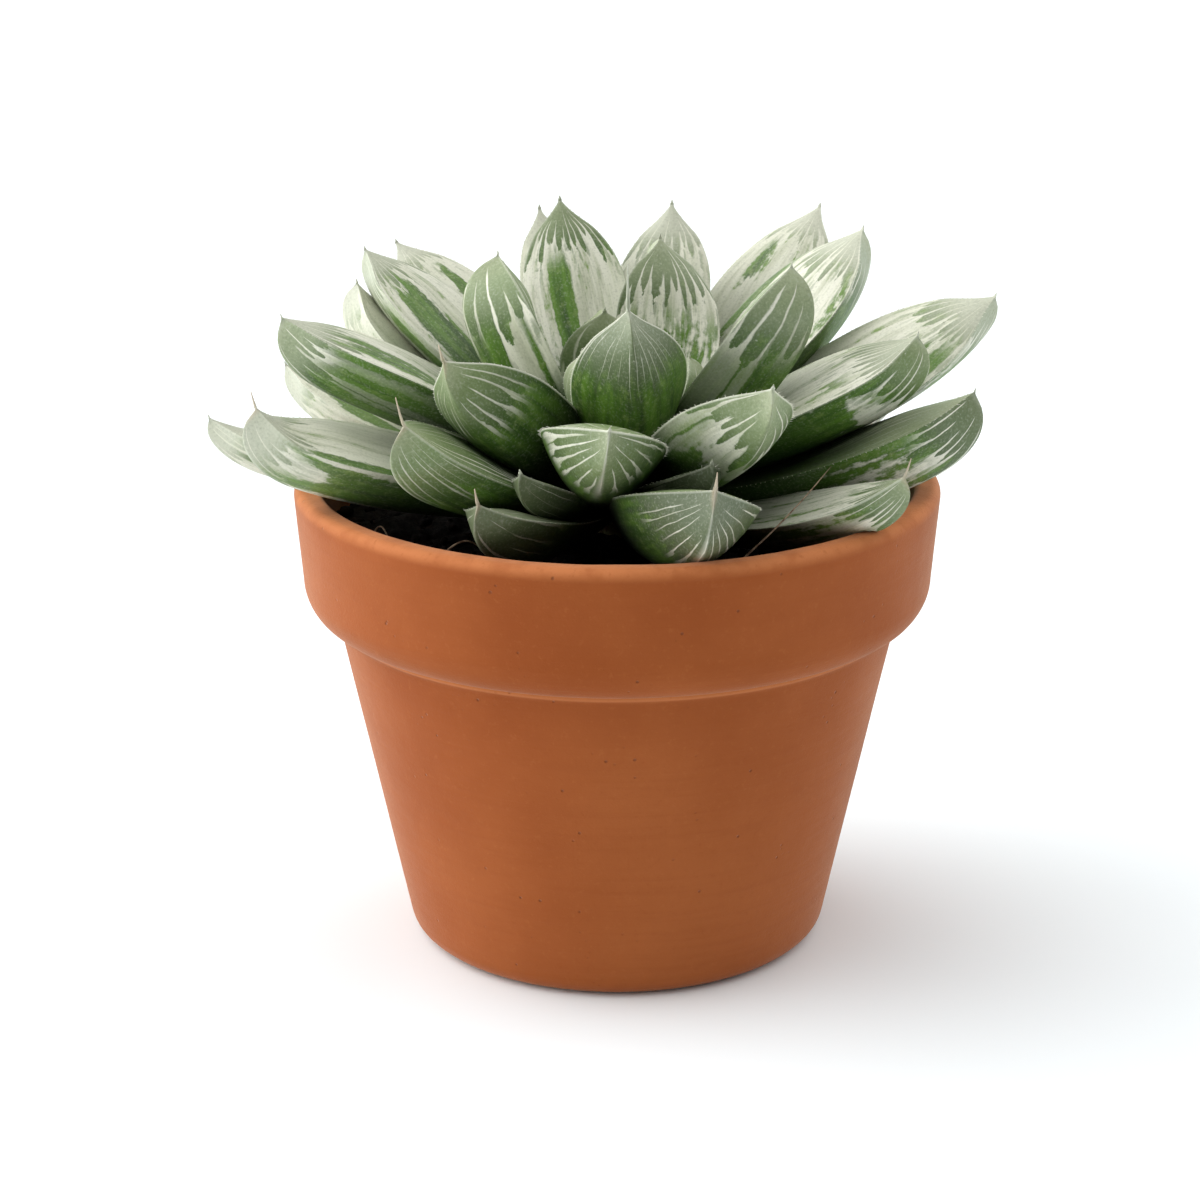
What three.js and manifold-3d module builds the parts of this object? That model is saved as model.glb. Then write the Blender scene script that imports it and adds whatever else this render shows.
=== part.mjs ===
// A potted haworthia: a rosette of thick, boat-shaped leaves on a short stem, standing in soil
// in a clay pot with a rolled rim. Millimetres, +Z up. The pot stands on z = 0, and the origin
// lies under the middle of the whole plant, which reaches a little further left than right.
import * as THREE from 'three';
import * as BufferGeometryUtils from 'three/addons/utils/BufferGeometryUtils.js';
import Module from 'manifold-3d';

// ---- Driving dimensions ----
const POT_AXIS_X = 2.9; // the pot's axis, right of the middle of the plant

// Pot: a standard clay pot, 108 mm across the rim
const RIM_R = 54;
const RIM_FOOT_R = 52.8; // the rim tapers a little towards its lower edge
const POT_H = 79.5;
const LIP_INNER_R = 49.6;
const LIP_ROUND = 1.8; // outer edge of the lip
const LIP_EDGE = 1.2; // its inner edge, rounded less
const RIM_FOOT_Z = 63.5; // the rim's lower edge starts to round in here
const CREASE_R = 47.4; // where the rim meets the tapered body
const CREASE_Z = 57;
const BASE_R = 36;
const BASE_ROUND = 4;
const LIP_TAPER = 0.03; // the rim's inner wall leans in by this much per millimetre down
const WALL = 4.6;
const FLOOR = 6;
const FLOOR_FILLET = 2.4;
const INNER_STEP = 3; // half the height of the slope between the rim's wall and the body's
const DRAIN_R = 6;
const POT_SECTORS = 48;

// Soil: fills the pot to about 9 mm below the lip
const SOIL_TOP = 70.2;
const SOIL_BUMP = 0.7;
const SOIL_RINGS = [0.97, 0.8, 0.6, 0.4, 0.2]; // shares of the radius
const SOIL_SECTORS = 30;
const SOIL_EDGE_DROP = 1.2;
const SOIL_SIDE_GAP = 0.45; // a little over GAP, because the two facet counts differ
const GAP = 0.3; // clearance between pieces that touch

// Stem: a short stump in a plain hole in the soil
const STEM_R = 4.6;
const STEM_TOP_R = 2.6;
const STEM_TOP_Z = 82;
const STEM_FOOT_Z = 60;
const STEM_SECTORS = 14;
const STEM_SHOULDER = 1.5;
const STEM_STRAIGHT = 2; // straight for this height above the soil

// Leaves: how each one is seated on the stem, by how steeply it rises
const SEAT_R = 5;
const SEAT_R_STEEP = 3;
const SEAT_Z = 73;
const SEAT_Z_STEEP = 83;

// Leaves: shares that all of them have in common
const WIDEST_AT = 0.62; // share of the length
const ROOT_WIDTH = 0.34; // share of the greatest width
const ROOT_DEPTH = 0.45; // share of the greatest depth
const DECK_CROWN = 0.08; // rise of the flat upper side over the half-width
const PROW_FROM = 0.8; // the tip turns up past this share of the length
const TIP_R = 0.45;
const MIDLINE_STEPS = 80;
const LEAF_RINGS = [0, 0.16, 0.34, 0.5, 0.63, 0.75, 0.85, 0.92, 0.97, 1];
const DECK_ACROSS = [-1, -0.4, 0.4, 1];
const HULL_ACROSS = [0.86, 0.46, 0, -0.46, -0.86];
const AWN_R = 0.2;
const AWN_ALONG = 0.5; // how far an awn runs on along the leaf, and rises, over its length
const AWN_RISE = 0.75;

// curl: extra rise from root to tip; prow: upturn of the tip; roll: lean of the blade about its
// length; sweep: bend to one side (degrees); depth: greatest depth over greatest width;
// awn: length of the bristle at the tip.
const HABIT = { curl: 5, prow: 10, roll: 0, sweep: 0, depth: 0.47, awn: 0.8 };

function leaf(where, turn, lift, length, width, habit = {}) {
  return { name: `leaf_${where}`, turn, lift, length, width, ...HABIT, ...habit };
}

// Youngest first. turn: degrees from +X towards +Y, with the front of the plant at -Y;
// lift: rise of the leaf's middle in degrees; then length and greatest width.
const LEAVES = [
  leaf('heart_core', -20, 86, 15.5, 9),
  leaf('heart_left', 108, 80, 23.5, 16, { curl: 4, roll: -5 }),
  leaf('heart_bud', -114, 63, 24, 10, { curl: -5 }),
  leaf('inner_left', 164, 63, 38, 22, { curl: 2, prow: 0, roll: 26 }),
  leaf('heart_right', 16, 61.5, 19.5, 11, { curl: -1, prow: 5 }),
  leaf('heart_back', 43, 55, 41, 18, { curl: 3, prow: 8, roll: 13, sweep: 70 }),
  leaf('heart_front', -81, 54, 39.5, 19, { curl: 10, prow: 14, roll: 10, sweep: -13, awn: 6 }),
  leaf('inner_right', -24, 53.5, 45.5, 21, { curl: 6, prow: 0 }),
  leaf('back_left', 107, 50.5, 50, 18, { curl: 6, prow: 16, roll: -16 }),
  leaf('back_right', 73, 46, 52, 18, { curl: 9, prow: 16, roll: -5, sweep: 6 }),
  leaf('right_back_low', 28, 40.5, 57.5, 22, { curl: 0, prow: 0, roll: 5 }),
  leaf('left_back', 154, 38, 56, 18, { curl: -13, prow: 0, roll: -6 }),
  leaf('front_left', -133, 37, 45, 19, { curl: 1, prow: 0, roll: 33, awn: 2.5 }),
  leaf('right_back', 52, 34.5, 66.5, 20, { curl: 13, prow: 0, roll: 9 }),
  leaf('back_shaded', 105, 34.5, 62, 14, { curl: 4, prow: 12 }),
  leaf('left_back_low', 155, 32, 54.5, 18, { curl: 21, prow: 12, roll: 10 }),
  leaf('front_right', -54, 31, 51, 19, { curl: -3, prow: 3, roll: -12, sweep: -13 }),
  leaf('left_back_shaded', 132, 30.5, 63.5, 17, { curl: -8, prow: 0, roll: -18 }),
  leaf('left', -167, 30.5, 60.5, 21, { curl: -28, prow: 8, roll: -3 }),
  leaf('right_front', -18, 30, 55, 21, { curl: -20, prow: 20, roll: 13 }),
  leaf('right', 2, 28.5, 66.5, 20, { curl: 6, prow: 0, roll: 30 }),
  leaf('front', -98, 27, 49, 20, { curl: -23, prow: 0, roll: -8, sweep: 14 }),
  leaf('rear_high', 88, 26.5, 54, 20),
  leaf('front_left_low', -132, 23.5, 49.5, 21, { curl: 3, prow: 12, roll: -18, awn: 4.5 }),
  leaf('rear_left', 120, 21.5, 53, 20),
  leaf('front_right_small', -68, 21.5, 38, 12, { curl: 3, prow: 15, depth: 0.36 }),
  leaf('right_low', -13, 20, 59, 22, { curl: 15, prow: 7 }),
  leaf('front_left_small', -112, 20, 38.5, 10, { curl: 13 }),
  leaf('rear_right', 61, 18, 58, 20),
  leaf('front_right_low', -70, 17, 53.5, 22, { curl: 11, prow: 6, roll: -10, sweep: -10, awn: 3 }),
  leaf('left_low', -158, 17, 61.5, 21, { curl: -6, prow: 32, roll: -10, awn: 2.5 }),
  leaf('left_shaded', 158, 16.5, 60, 17, { curl: 7, prow: 0 }),
  leaf('rear_right_low', 31, 16, 56.5, 18, { curl: 8 }),
  leaf('rear_left_low', 135, 14.5, 58, 18, { curl: 19 }),
  leaf('right_front_low', -40, 14, 56, 15, { curl: 24, prow: 9, roll: 12, awn: 3 }),
  leaf('rear_low', 97, 14, 50, 19, { curl: 9 }),
  leaf('front_lowest', -118, 13, 43, 16, { curl: 13, prow: 18, awn: 2.5 }),
  leaf('left_lowest', -179, 11.5, 65, 16, { curl: 2, prow: 16, roll: 6, depth: 0.4 }),
];

// ---- Materials ----
const clay = new THREE.MeshStandardMaterial({ color: 0xb5693f, roughness: 0.85, metalness: 0 });
const earth = new THREE.MeshStandardMaterial({ color: 0x2b1f18, roughness: 1, metalness: 0 });
const stalk = new THREE.MeshStandardMaterial({ color: 0x8a8f63, roughness: 0.7, metalness: 0 });
const leafSkin = new THREE.MeshStandardMaterial({ color: 0x7f9a72, roughness: 0.45, metalness: 0 });

// ---- Helpers ----
const kit = await Module();
kit.setup();

function toSolid(geometry) {
  const bare = geometry.clone();
  bare.deleteAttribute('normal');
  bare.deleteAttribute('uv');
  const merged = BufferGeometryUtils.mergeVertices(bare, 1e-4);
  const vertProperties = new Float32Array(merged.attributes.position.array);
  const triVerts = new Uint32Array(merged.index.array);
  return new kit.Manifold(new kit.Mesh({ numProp: 3, vertProperties, triVerts }));
}

function toGeometry(solid) {
  const mesh = solid.getMesh();
  const geometry = new THREE.BufferGeometry();
  geometry.setAttribute('position', new THREE.BufferAttribute(mesh.vertProperties, mesh.numProp));
  geometry.setIndex(new THREE.BufferAttribute(mesh.triVerts, 1));
  geometry.computeVertexNormals();
  return geometry;
}

function smooth(from, to, x) {
  const t = Math.min(Math.max((x - from) / (to - from), 0), 1);
  return t * t * (3 - 2 * t);
}

// A turned solid: profile points are [radius, height], anticlockwise from the foot outwards.
function turned(profile, sectors) {
  const points = profile.map(([r, z]) => new THREE.Vector2(r, z));
  return new THREE.LatheGeometry(points, sectors).rotateX(Math.PI / 2);
}

function arc(cx, cz, rx, rz, from, to, steps) {
  const points = [];
  for (let i = 0; i <= steps; i++) {
    const a = THREE.MathUtils.degToRad(from + ((to - from) * i) / steps);
    points.push([cx + rx * Math.cos(a), cz + rz * Math.sin(a)]);
  }
  return points;
}

// ---- Pot ----
const wallSlope = (CREASE_R - BASE_R) / CREASE_Z;
function innerWallR(z) {
  return z > CREASE_Z ? LIP_INNER_R - (POT_H - z) * LIP_TAPER : BASE_R - WALL + wallSlope * z;
}

function potGeometry() {
  const rimRise = RIM_FOOT_Z - CREASE_Z;
  const rimOut = RIM_FOOT_R - CREASE_R;
  const profile = [
    [DRAIN_R, 0],
    ...arc(BASE_R - BASE_ROUND, BASE_ROUND, BASE_ROUND, BASE_ROUND, -90, -12, 3),
    [CREASE_R - 0.5, CREASE_Z - 1],
    ...arc(CREASE_R, RIM_FOOT_Z, rimOut, rimRise, -84, 0, 4),
    ...arc(RIM_R - LIP_ROUND, POT_H - LIP_ROUND, LIP_ROUND, LIP_ROUND, 0, 90, 3),
    ...arc(LIP_INNER_R + LIP_EDGE, POT_H - LIP_EDGE, LIP_EDGE, LIP_EDGE, 90, 180, 2),
    [innerWallR(CREASE_Z + INNER_STEP), CREASE_Z + INNER_STEP],
    [innerWallR(CREASE_Z - INNER_STEP), CREASE_Z - INNER_STEP],
    [innerWallR(FLOOR + FLOOR_FILLET), FLOOR + FLOOR_FILLET],
    [innerWallR(FLOOR) - FLOOR_FILLET, FLOOR],
    [DRAIN_R, FLOOR],
    [DRAIN_R, 0],
  ];
  return turned(profile, POT_SECTORS);
}

// ---- Soil ----
// Gentle hills and dips across the top, between -1.6 and 1.6.
function soilWave(x, y) {
  return Math.sin(x * 0.31 + 1.7) * Math.cos(y * 0.27) + 0.6 * Math.sin(x * 0.53 - y * 0.61);
}

function soilGeometry() {
  const hole = STEM_R + GAP;
  const side = (z) => innerWallR(z) - SOIL_SIDE_GAP;
  const edge = side(SOIL_TOP);
  const top = SOIL_RINGS.map((share) => [edge * share, SOIL_TOP]);
  const profile = [
    [0, FLOOR + GAP],
    [side(FLOOR) - FLOOR_FILLET, FLOOR + GAP],
    [side(FLOOR + FLOOR_FILLET), FLOOR + FLOOR_FILLET + GAP],
    [side(CREASE_Z - INNER_STEP), CREASE_Z - INNER_STEP],
    [side(CREASE_Z + INNER_STEP), CREASE_Z + INNER_STEP],
    [edge, SOIL_TOP - SOIL_EDGE_DROP],
    ...top,
    [hole, SOIL_TOP],
    [hole, STEM_FOOT_Z - GAP],
    [0, STEM_FOOT_Z - GAP],
  ];
  const geometry = turned(profile, SOIL_SECTORS);
  const points = geometry.attributes.position;
  for (let i = 0; i < points.count; i++) {
    if (Math.abs(points.getZ(i) - SOIL_TOP) > 1e-3) continue;
    points.setZ(i, SOIL_TOP + SOIL_BUMP * soilWave(points.getX(i), points.getY(i)));
  }
  return geometry;
}

// ---- Stem ----
function stemGeometry(grow = 0) {
  const bottom = STEM_FOOT_Z - grow;
  const top = STEM_TOP_Z + grow;
  const profile = [
    [0, bottom],
    [STEM_R + grow, bottom],
    [STEM_R + grow, SOIL_TOP + STEM_STRAIGHT],
    [STEM_TOP_R + grow, top - STEM_SHOULDER],
    [STEM_TOP_R * 0.5 + grow, top],
    [0, top],
  ];
  return turned(profile, STEM_SECTORS);
}

// ---- Leaves ----
function widthShare(s) {
  if (s < WIDEST_AT) {
    return ROOT_WIDTH + (1 - ROOT_WIDTH) * Math.sin(((s / WIDEST_AT) * Math.PI) / 2) ** 1.15;
  }
  return (1 - ((s - WIDEST_AT) / (1 - WIDEST_AT)) ** 2.3) ** 0.92;
}

function depthShare(s) {
  if (s < WIDEST_AT) {
    return ROOT_DEPTH + (1 - ROOT_DEPTH) * Math.sin(((s / WIDEST_AT) * Math.PI) / 2) ** 1.1;
  }
  return (1 - ((s - WIDEST_AT) / (1 - WIDEST_AT)) ** 3) ** 0.42;
}

// How round the hull's section is: a full curve at the root, almost a straight-sided keel
// at the tip.
function keelShape(s) {
  return 1.9 - 0.6 * s;
}

// Points and axes along the middle of a leaf's flat upper side, from its seat on the stem.
function leafMidline(leaf) {
  const rad = THREE.MathUtils.degToRad;
  const steep = Math.sin(rad(leaf.lift));
  const seatR = SEAT_R + (SEAT_R_STEEP - SEAT_R) * steep;
  const seatZ = SEAT_Z + (SEAT_Z_STEEP - SEAT_Z) * steep;
  const turn = rad(leaf.turn);
  const at = new THREE.Vector3(seatR * Math.cos(turn), seatR * Math.sin(turn), seatZ);
  const stations = [];
  for (let i = 0; i < MIDLINE_STEPS; i++) {
    const s = i / (MIDLINE_STEPS - 1);
    const rise = rad(leaf.lift + leaf.curl * (s - 0.5) + leaf.prow * smooth(PROW_FROM, 1, s));
    const way = turn + rad(leaf.sweep * s);
    const reach = Math.cos(rise);
    const along = new THREE.Vector3(reach * Math.cos(way), reach * Math.sin(way), Math.sin(rise));
    const flat = new THREE.Vector3(-Math.sin(way), Math.cos(way), 0);
    const up = new THREE.Vector3().crossVectors(along, flat);
    const across = flat.clone().multiplyScalar(Math.cos(rad(leaf.roll)));
    across.addScaledVector(up, Math.sin(rad(leaf.roll)));
    const out = new THREE.Vector3().crossVectors(along, across);
    if (i > 0) {
      const step = leaf.length / (MIDLINE_STEPS - 1) / 2;
      at.addScaledVector(stations[i - 1].along, step).addScaledVector(along, step);
    }
    stations.push({ at: at.clone(), along, across, out });
  }
  return stations;
}

// One ring of points: the deck from edge to edge, then back under the keeled hull.
function leafRing(station, halfWidth, depth, crown, keel) {
  const points = [];
  for (const x of DECK_ACROSS) {
    const p = station.at.clone().addScaledVector(station.across, halfWidth * x);
    points.push(p.addScaledVector(station.out, crown * (1 - x * x)));
  }
  for (const x of HULL_ACROSS) {
    const p = station.at.clone().addScaledVector(station.across, halfWidth * x);
    points.push(p.addScaledVector(station.out, -depth * (1 - Math.abs(x) ** keel) ** 0.9));
  }
  return points;
}

function closedStack(rings) {
  const around = rings[0].length;
  const positions = rings.flat();
  const index = [];
  for (let i = 0; i + 1 < rings.length; i++) {
    for (let j = 0; j < around; j++) {
      const a = i * around + j;
      const b = i * around + ((j + 1) % around);
      index.push(a, a + around, b, b, a + around, b + around);
    }
  }
  for (const [ring, flip] of [[0, true], [rings.length - 1, false]]) {
    const middle = new THREE.Vector3();
    for (const p of rings[ring]) middle.addScaledVector(p, 1 / around);
    const centre = positions.push(middle) - 1;
    for (let j = 0; j < around; j++) {
      const a = ring * around + j;
      const b = ring * around + ((j + 1) % around);
      if (flip) index.push(a, b, centre);
      else index.push(b, a, centre);
    }
  }
  const geometry = new THREE.BufferGeometry().setFromPoints(positions);
  geometry.setIndex(index);
  return geometry;
}

// A whole leaf: keeled boat with an upturned prow and a fine awn at the tip.
function leafGeometry(leaf, grow = 0) {
  const stations = leafMidline(leaf);
  const last = stations[MIDLINE_STEPS - 1];
  const rings = LEAF_RINGS.map((s) => {
    const station = stations[Math.round(s * (MIDLINE_STEPS - 1))];
    const halfWidth = Math.max((leaf.width / 2) * widthShare(s), TIP_R) + grow;
    const depth = Math.max(leaf.width * leaf.depth * depthShare(s), TIP_R) + grow;
    return leafRing(station, halfWidth, depth, DECK_CROWN * halfWidth + grow, keelShape(s));
  });
  const at = last.at.clone().addScaledVector(last.along, AWN_ALONG * leaf.awn);
  at.z += AWN_RISE * leaf.awn;
  rings.push(leafRing({ ...last, at }, AWN_R + grow, AWN_R + grow, grow, keelShape(1)));
  return closedStack(rings);
}

function largestPiece(solid) {
  const pieces = solid.decompose();
  return pieces.reduce((best, piece) => (piece.volume() > best.volume() ? piece : best));
}

// What no leaf may reach into: the soil's surface and the pot's rim, each with a clearance.
function bedGeometry() {
  const soilTop = SOIL_TOP + 1.6 * SOIL_BUMP + GAP;
  const profile = [
    [0, STEM_FOOT_Z],
    [RIM_R + GAP, STEM_FOOT_Z],
    ...arc(RIM_R - LIP_ROUND, POT_H - LIP_ROUND, LIP_ROUND + GAP, LIP_ROUND + GAP, 0, 90, 3),
    ...arc(LIP_INNER_R + LIP_EDGE, POT_H - LIP_EDGE, LIP_EDGE + GAP, LIP_EDGE + GAP, 90, 180, 2),
    [innerWallR(SOIL_TOP) - GAP, soilTop],
    [0, soilTop],
  ];
  return turned(profile, POT_SECTORS);
}

// Younger leaves keep their form; each older one is hollowed where a younger one presses on it,
// and flattened where it lies on the soil or the rim.
function leafSolids() {
  const firm = [toSolid(stemGeometry(GAP)), toSolid(bedGeometry())];
  return LEAVES.map((leaf) => {
    let solid = toSolid(leafGeometry(leaf));
    for (const other of firm) solid = solid.subtract(other);
    firm.push(toSolid(leafGeometry(leaf, GAP)));
    return { name: leaf.name, solid: largestPiece(solid) };
  });
}

// ---- The plant ----
const plant = new THREE.Group();
plant.position.x = POT_AXIS_X;

function add(name, geometry, material) {
  const mesh = new THREE.Mesh(geometry, material.clone());
  mesh.name = name;
  plant.add(mesh);
}

add('pot', potGeometry(), clay);
add('soil', soilGeometry(), earth);
add('stem', stemGeometry(), stalk);
for (const { name, solid } of leafSolids()) add(name, toGeometry(solid), leafSkin);

export default plant;
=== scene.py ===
# %% [markdown]
# # A potted haworthia, piece by piece
# A small striped succulent in a clay pot: thick boat-shaped leaves on a short stem, dark soil
# with a few stray root fibres, and a pot with a rolled rim. The measured model is loaded first
# and stays as it is. The finer pieces made here take the place of its nodes, one for one. The
# stem keeps its own shape, and only the crumbs on the soil and the root fibres are new.

# %% Load the measured model
import math
import random

import bpy
import numpy as np
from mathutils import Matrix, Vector, noise


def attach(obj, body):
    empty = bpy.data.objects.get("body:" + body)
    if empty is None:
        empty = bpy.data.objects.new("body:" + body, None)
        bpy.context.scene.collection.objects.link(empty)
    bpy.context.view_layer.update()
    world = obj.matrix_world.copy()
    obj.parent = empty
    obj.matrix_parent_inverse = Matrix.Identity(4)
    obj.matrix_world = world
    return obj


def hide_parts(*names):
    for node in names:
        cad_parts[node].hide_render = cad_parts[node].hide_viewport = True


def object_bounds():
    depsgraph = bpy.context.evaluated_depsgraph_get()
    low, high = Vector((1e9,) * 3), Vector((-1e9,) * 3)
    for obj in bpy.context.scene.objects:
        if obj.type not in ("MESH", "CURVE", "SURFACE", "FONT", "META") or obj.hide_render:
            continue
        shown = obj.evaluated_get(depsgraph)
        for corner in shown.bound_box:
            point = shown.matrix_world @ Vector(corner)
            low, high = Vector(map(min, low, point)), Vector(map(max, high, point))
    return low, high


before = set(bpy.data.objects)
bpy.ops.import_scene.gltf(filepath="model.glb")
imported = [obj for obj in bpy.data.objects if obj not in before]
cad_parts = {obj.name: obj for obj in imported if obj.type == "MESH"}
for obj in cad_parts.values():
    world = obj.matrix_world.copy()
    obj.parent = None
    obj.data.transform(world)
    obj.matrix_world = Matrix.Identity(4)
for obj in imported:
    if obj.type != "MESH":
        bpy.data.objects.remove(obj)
CAD_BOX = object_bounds()
MM = 0.001
POT_AXIS_X = 2.9  # mm; the pot stands a little right of the middle of the plant
print("nodes:", len(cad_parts), "box:", [tuple(round(c, 4) for c in p) for p in CAD_BOX])

# %% [markdown]
# ## Camera
# The photograph is taken from a little above the rim, about half a metre away. A long lens keeps
# the rosette and the pot in one calm perspective. We aim at a point on the pot's axis, just above
# the crease under the rim, and step back along a line that falls by 18 degrees. The photograph is
# framed a little to one side, so the picture is shifted by a few pixels.

# %% Camera
VIEW_DOWN = math.radians(17.9)
VIEW_ANGLE = math.radians(22)
VIEW_FAR = 0.524  # metres
PHOTO_WIDTH, PHOTO_SHIFT = 1200, 17.2  # pixels
AIM = Vector((POT_AXIS_X * MM, 0, 0.0575))


def put(name, data):
    """A new object in the scene."""
    thing = bpy.data.objects.new(name, data)
    bpy.context.scene.collection.objects.link(thing)
    return thing


def face_to(thing, place, target):
    """Move a camera or a lamp to a place and turn it to its target."""
    thing.location = place
    thing.rotation_euler = (target - place).to_track_quat("-Z", "Y").to_euler()


eye = AIM + Vector((0, -math.cos(VIEW_DOWN), math.sin(VIEW_DOWN))) * VIEW_FAR
camera_data = bpy.data.cameras.new("camera")
camera_data.sensor_width = 36
camera_data.angle = VIEW_ANGLE
camera_data.shift_x = -PHOTO_SHIFT / PHOTO_WIDTH
camera_data.clip_start = 0.01
camera = put("camera", camera_data)
face_to(camera, eye, AIM)
bpy.context.scene.camera = camera
print("camera at", tuple(round(c, 3) for c in eye), "lens", round(camera_data.lens, 1), "mm")

# %% [markdown]
# ## A small shader language
# Blender's materials are graphs of nodes. Written out one by one they hide what they do, so a
# short helper class adds a node, sets its sockets and hands back its output. A finish can then
# be read nearly like a formula, and its colours like coats of paint. The studio's light is such a
# graph too, so the class can start from a world as well as from a material.

# %% Shader helper
class Finish:
    """A node graph: sockets take numbers, colours or other nodes' outputs."""

    def __init__(self, name, blocks=bpy.data.materials, shader="Principled BSDF"):
        self.block = blocks.new(name)
        self.block.use_nodes = True
        self.tree = self.block.node_tree
        self.shader = self.tree.nodes[shader]

    def set(self, node, sockets):
        for key, value in sockets.items():
            socket = node.inputs[key]
            if isinstance(value, bpy.types.NodeSocket):
                self.tree.links.new(value, socket)
            elif isinstance(value, tuple) and len(value) == 3 and len(socket.default_value) == 4:
                socket.default_value = (*value, 1)
            else:
                socket.default_value = value

    def add(self, kind, sockets, **settings):
        node = self.tree.nodes.new("ShaderNode" + kind)
        for key, value in settings.items():
            setattr(node, key, value)
        self.set(node, sockets)
        return node

    def node(self, kind, sockets, out=0, **settings):
        return self.add(kind, sockets, **settings).outputs[out]

    def place(self):
        """The position on the object, in metres."""
        return self.node("TexCoord", {}, 3)

    def math(self, operation, a, b=0.0, clamp=False):
        return self.node("Math", {0: a, 1: b}, operation=operation, use_clamp=clamp)

    def plus(self, a, b):
        return self.math("ADD", a, b)

    def minus(self, a, b):
        return self.math("SUBTRACT", a, b)

    def times(self, a, b, clamp=False):
        return self.math("MULTIPLY", a, b, clamp)

    def ramp(self, value, low, high, to_low=0.0, to_high=1.0):
        """A smooth step from to_low, at value low, to to_high, at value high."""
        sockets = {"Value": value, "From Min": low, "From Max": high,
                   "To Min": to_low, "To Max": to_high}
        return self.node("MapRange", sockets, interpolation_type="SMOOTHSTEP")

    def mix(self, share, a, b):
        """Colour a where share is 0, b where it is 1."""
        return self.node("Mix", {0: share, 6: a, 7: b}, 2, data_type="RGBA")

    def coats(self, colour, *coats):
        """A colour with coats laid over it. Each coat is a share and a colour of its own."""
        for share, coat in coats:
            colour = self.mix(share, colour, coat)
        return colour

    def weighted(self, *values):
        """The sum of values, each times its weight."""
        total, *others = [self.times(value, weight) for value, weight in values]
        for other in others:
            total = self.plus(total, other)
        return total

    def vector(self, x, y, z):
        return self.node("CombineXYZ", {"X": x, "Y": y, "Z": z})

    def parts(self, vector):
        return tuple(self.add("SeparateXYZ", {"Vector": vector}).outputs)

    def noise(self, place, scale=1.0, detail=2.0, roughness=0.5):
        sockets = {"Vector": place, "Scale": scale, "Detail": detail, "Roughness": roughness}
        return self.node("TexNoise", sockets)

    def bump(self, height, distance, strength):
        return self.node("Bump", {"Height": height, "Distance": distance, "Strength": strength})


def tone(red, green, blue):
    """A colour as picked on screen, 0 to 255, turned into the linear light Blender mixes."""
    def linear(c):
        c /= 255
        return c / 12.92 if c <= 0.04045 else ((c + 0.055) / 1.055) ** 2.4

    return (linear(red), linear(green), linear(blue))


print("helper ready; clay orange in linear light:", tuple(round(c, 3) for c in tone(190, 116, 74)))

# %% [markdown]
# ## Making a mesh
# Each piece is built from points and faces, smoothed, and tied to the model: it rides on the
# plant's one body, replaces a node where it stands for one, and carries the finish it belongs to.
# Nearly all of them are rings of points strung along a line, so one helper joins the rings.

# %% Mesh helper
SMALLEST = 1e-6


def make_piece(name, points_mm, faces, material, slot, node=None):
    mesh = bpy.data.meshes.new(name)
    mesh.from_pydata((np.asarray(points_mm, float) * MM).tolist(), [], faces)
    mesh.polygons.foreach_set("use_smooth", [True] * len(mesh.polygons))
    mesh.materials.append(material)
    mesh.update()
    piece = put(name, mesh)
    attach(piece, "root")
    if node:
        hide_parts(node)
    return piece


def ring_faces(rings, sectors, closed=True):
    """Four-sided faces between neighbouring rings; if closed, also from the last to the first."""
    faces = []
    for i in range(rings if closed else rings - 1):
        a, b = i * sectors, (i + 1) % rings * sectors
        for k in range(sectors):
            n = (k + 1) % sectors
            faces.append((a + k, a + n, b + n, b + k))
    return faces


def shifted(faces, first):
    """The same faces for points that are numbered from first."""
    return [tuple(first + i for i in face) for face in faces]


def unit(vectors):
    """The same directions, each one long."""
    return vectors / np.maximum(np.linalg.norm(vectors, axis=-1, keepdims=True), SMALLEST)


def fractal(x, y, z):
    """Smooth noise between about -1 and 1, with finer and finer detail on top."""
    return noise.fractal(Vector((x, y, z)), 1.0, 2.0, 3)


print("a sample of the noise:", round(fractal(0.3, 1.2, 0.5), 4))

# %% [markdown]
# ## Fired clay
# Terracotta is dry and matt. Its colour drifts in soft clouds, with tiny dark specks from the sand
# in it and faint rings left by the wheel. The lip and the bead under the rim are painted paler: a
# painted highlight where these edges catch the light, mottled on the lip like wear.
# All of that follows the position on the pot, so it stays put from every side. The rings are a
# noise that is stretched round the axis: it hardly reads anything but the height. A dry surface
# mirrors little, so the gloss is turned down, and a faint warm sheen lightens the edges.

# %% Clay finish
# heights of the painted highlight on the lip and on the bead under the rim
LIP_HIGHLIGHT = (0.0772, 0.0792)  # metres above the floor, as is the bead
BEAD_UP, BEAD_DOWN = (0.0558, 0.0564), (0.0571, 0.0567)
clay = Finish("fired_clay")
place = clay.place()
px, py, pz = clay.parts(place)
cloud = clay.noise(place, 38, 4, 0.55)
drift = clay.noise(place, 11, 2, 0.5)
ring_place = clay.vector(clay.times(px, 0.06), clay.times(py, 0.06), pz)
rings = clay.noise(ring_place, 620, 3, 0.6)
lumps = clay.noise(place, 210, 3, 0.5)
fleck = clay.noise(place, 900, 4, 0.7)
sand = clay.node("TexVoronoi", {"Vector": place, "Scale": 560, "Randomness": 1.0})
sand_pick = clay.noise(place, 190, 1, 0.5)
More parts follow.
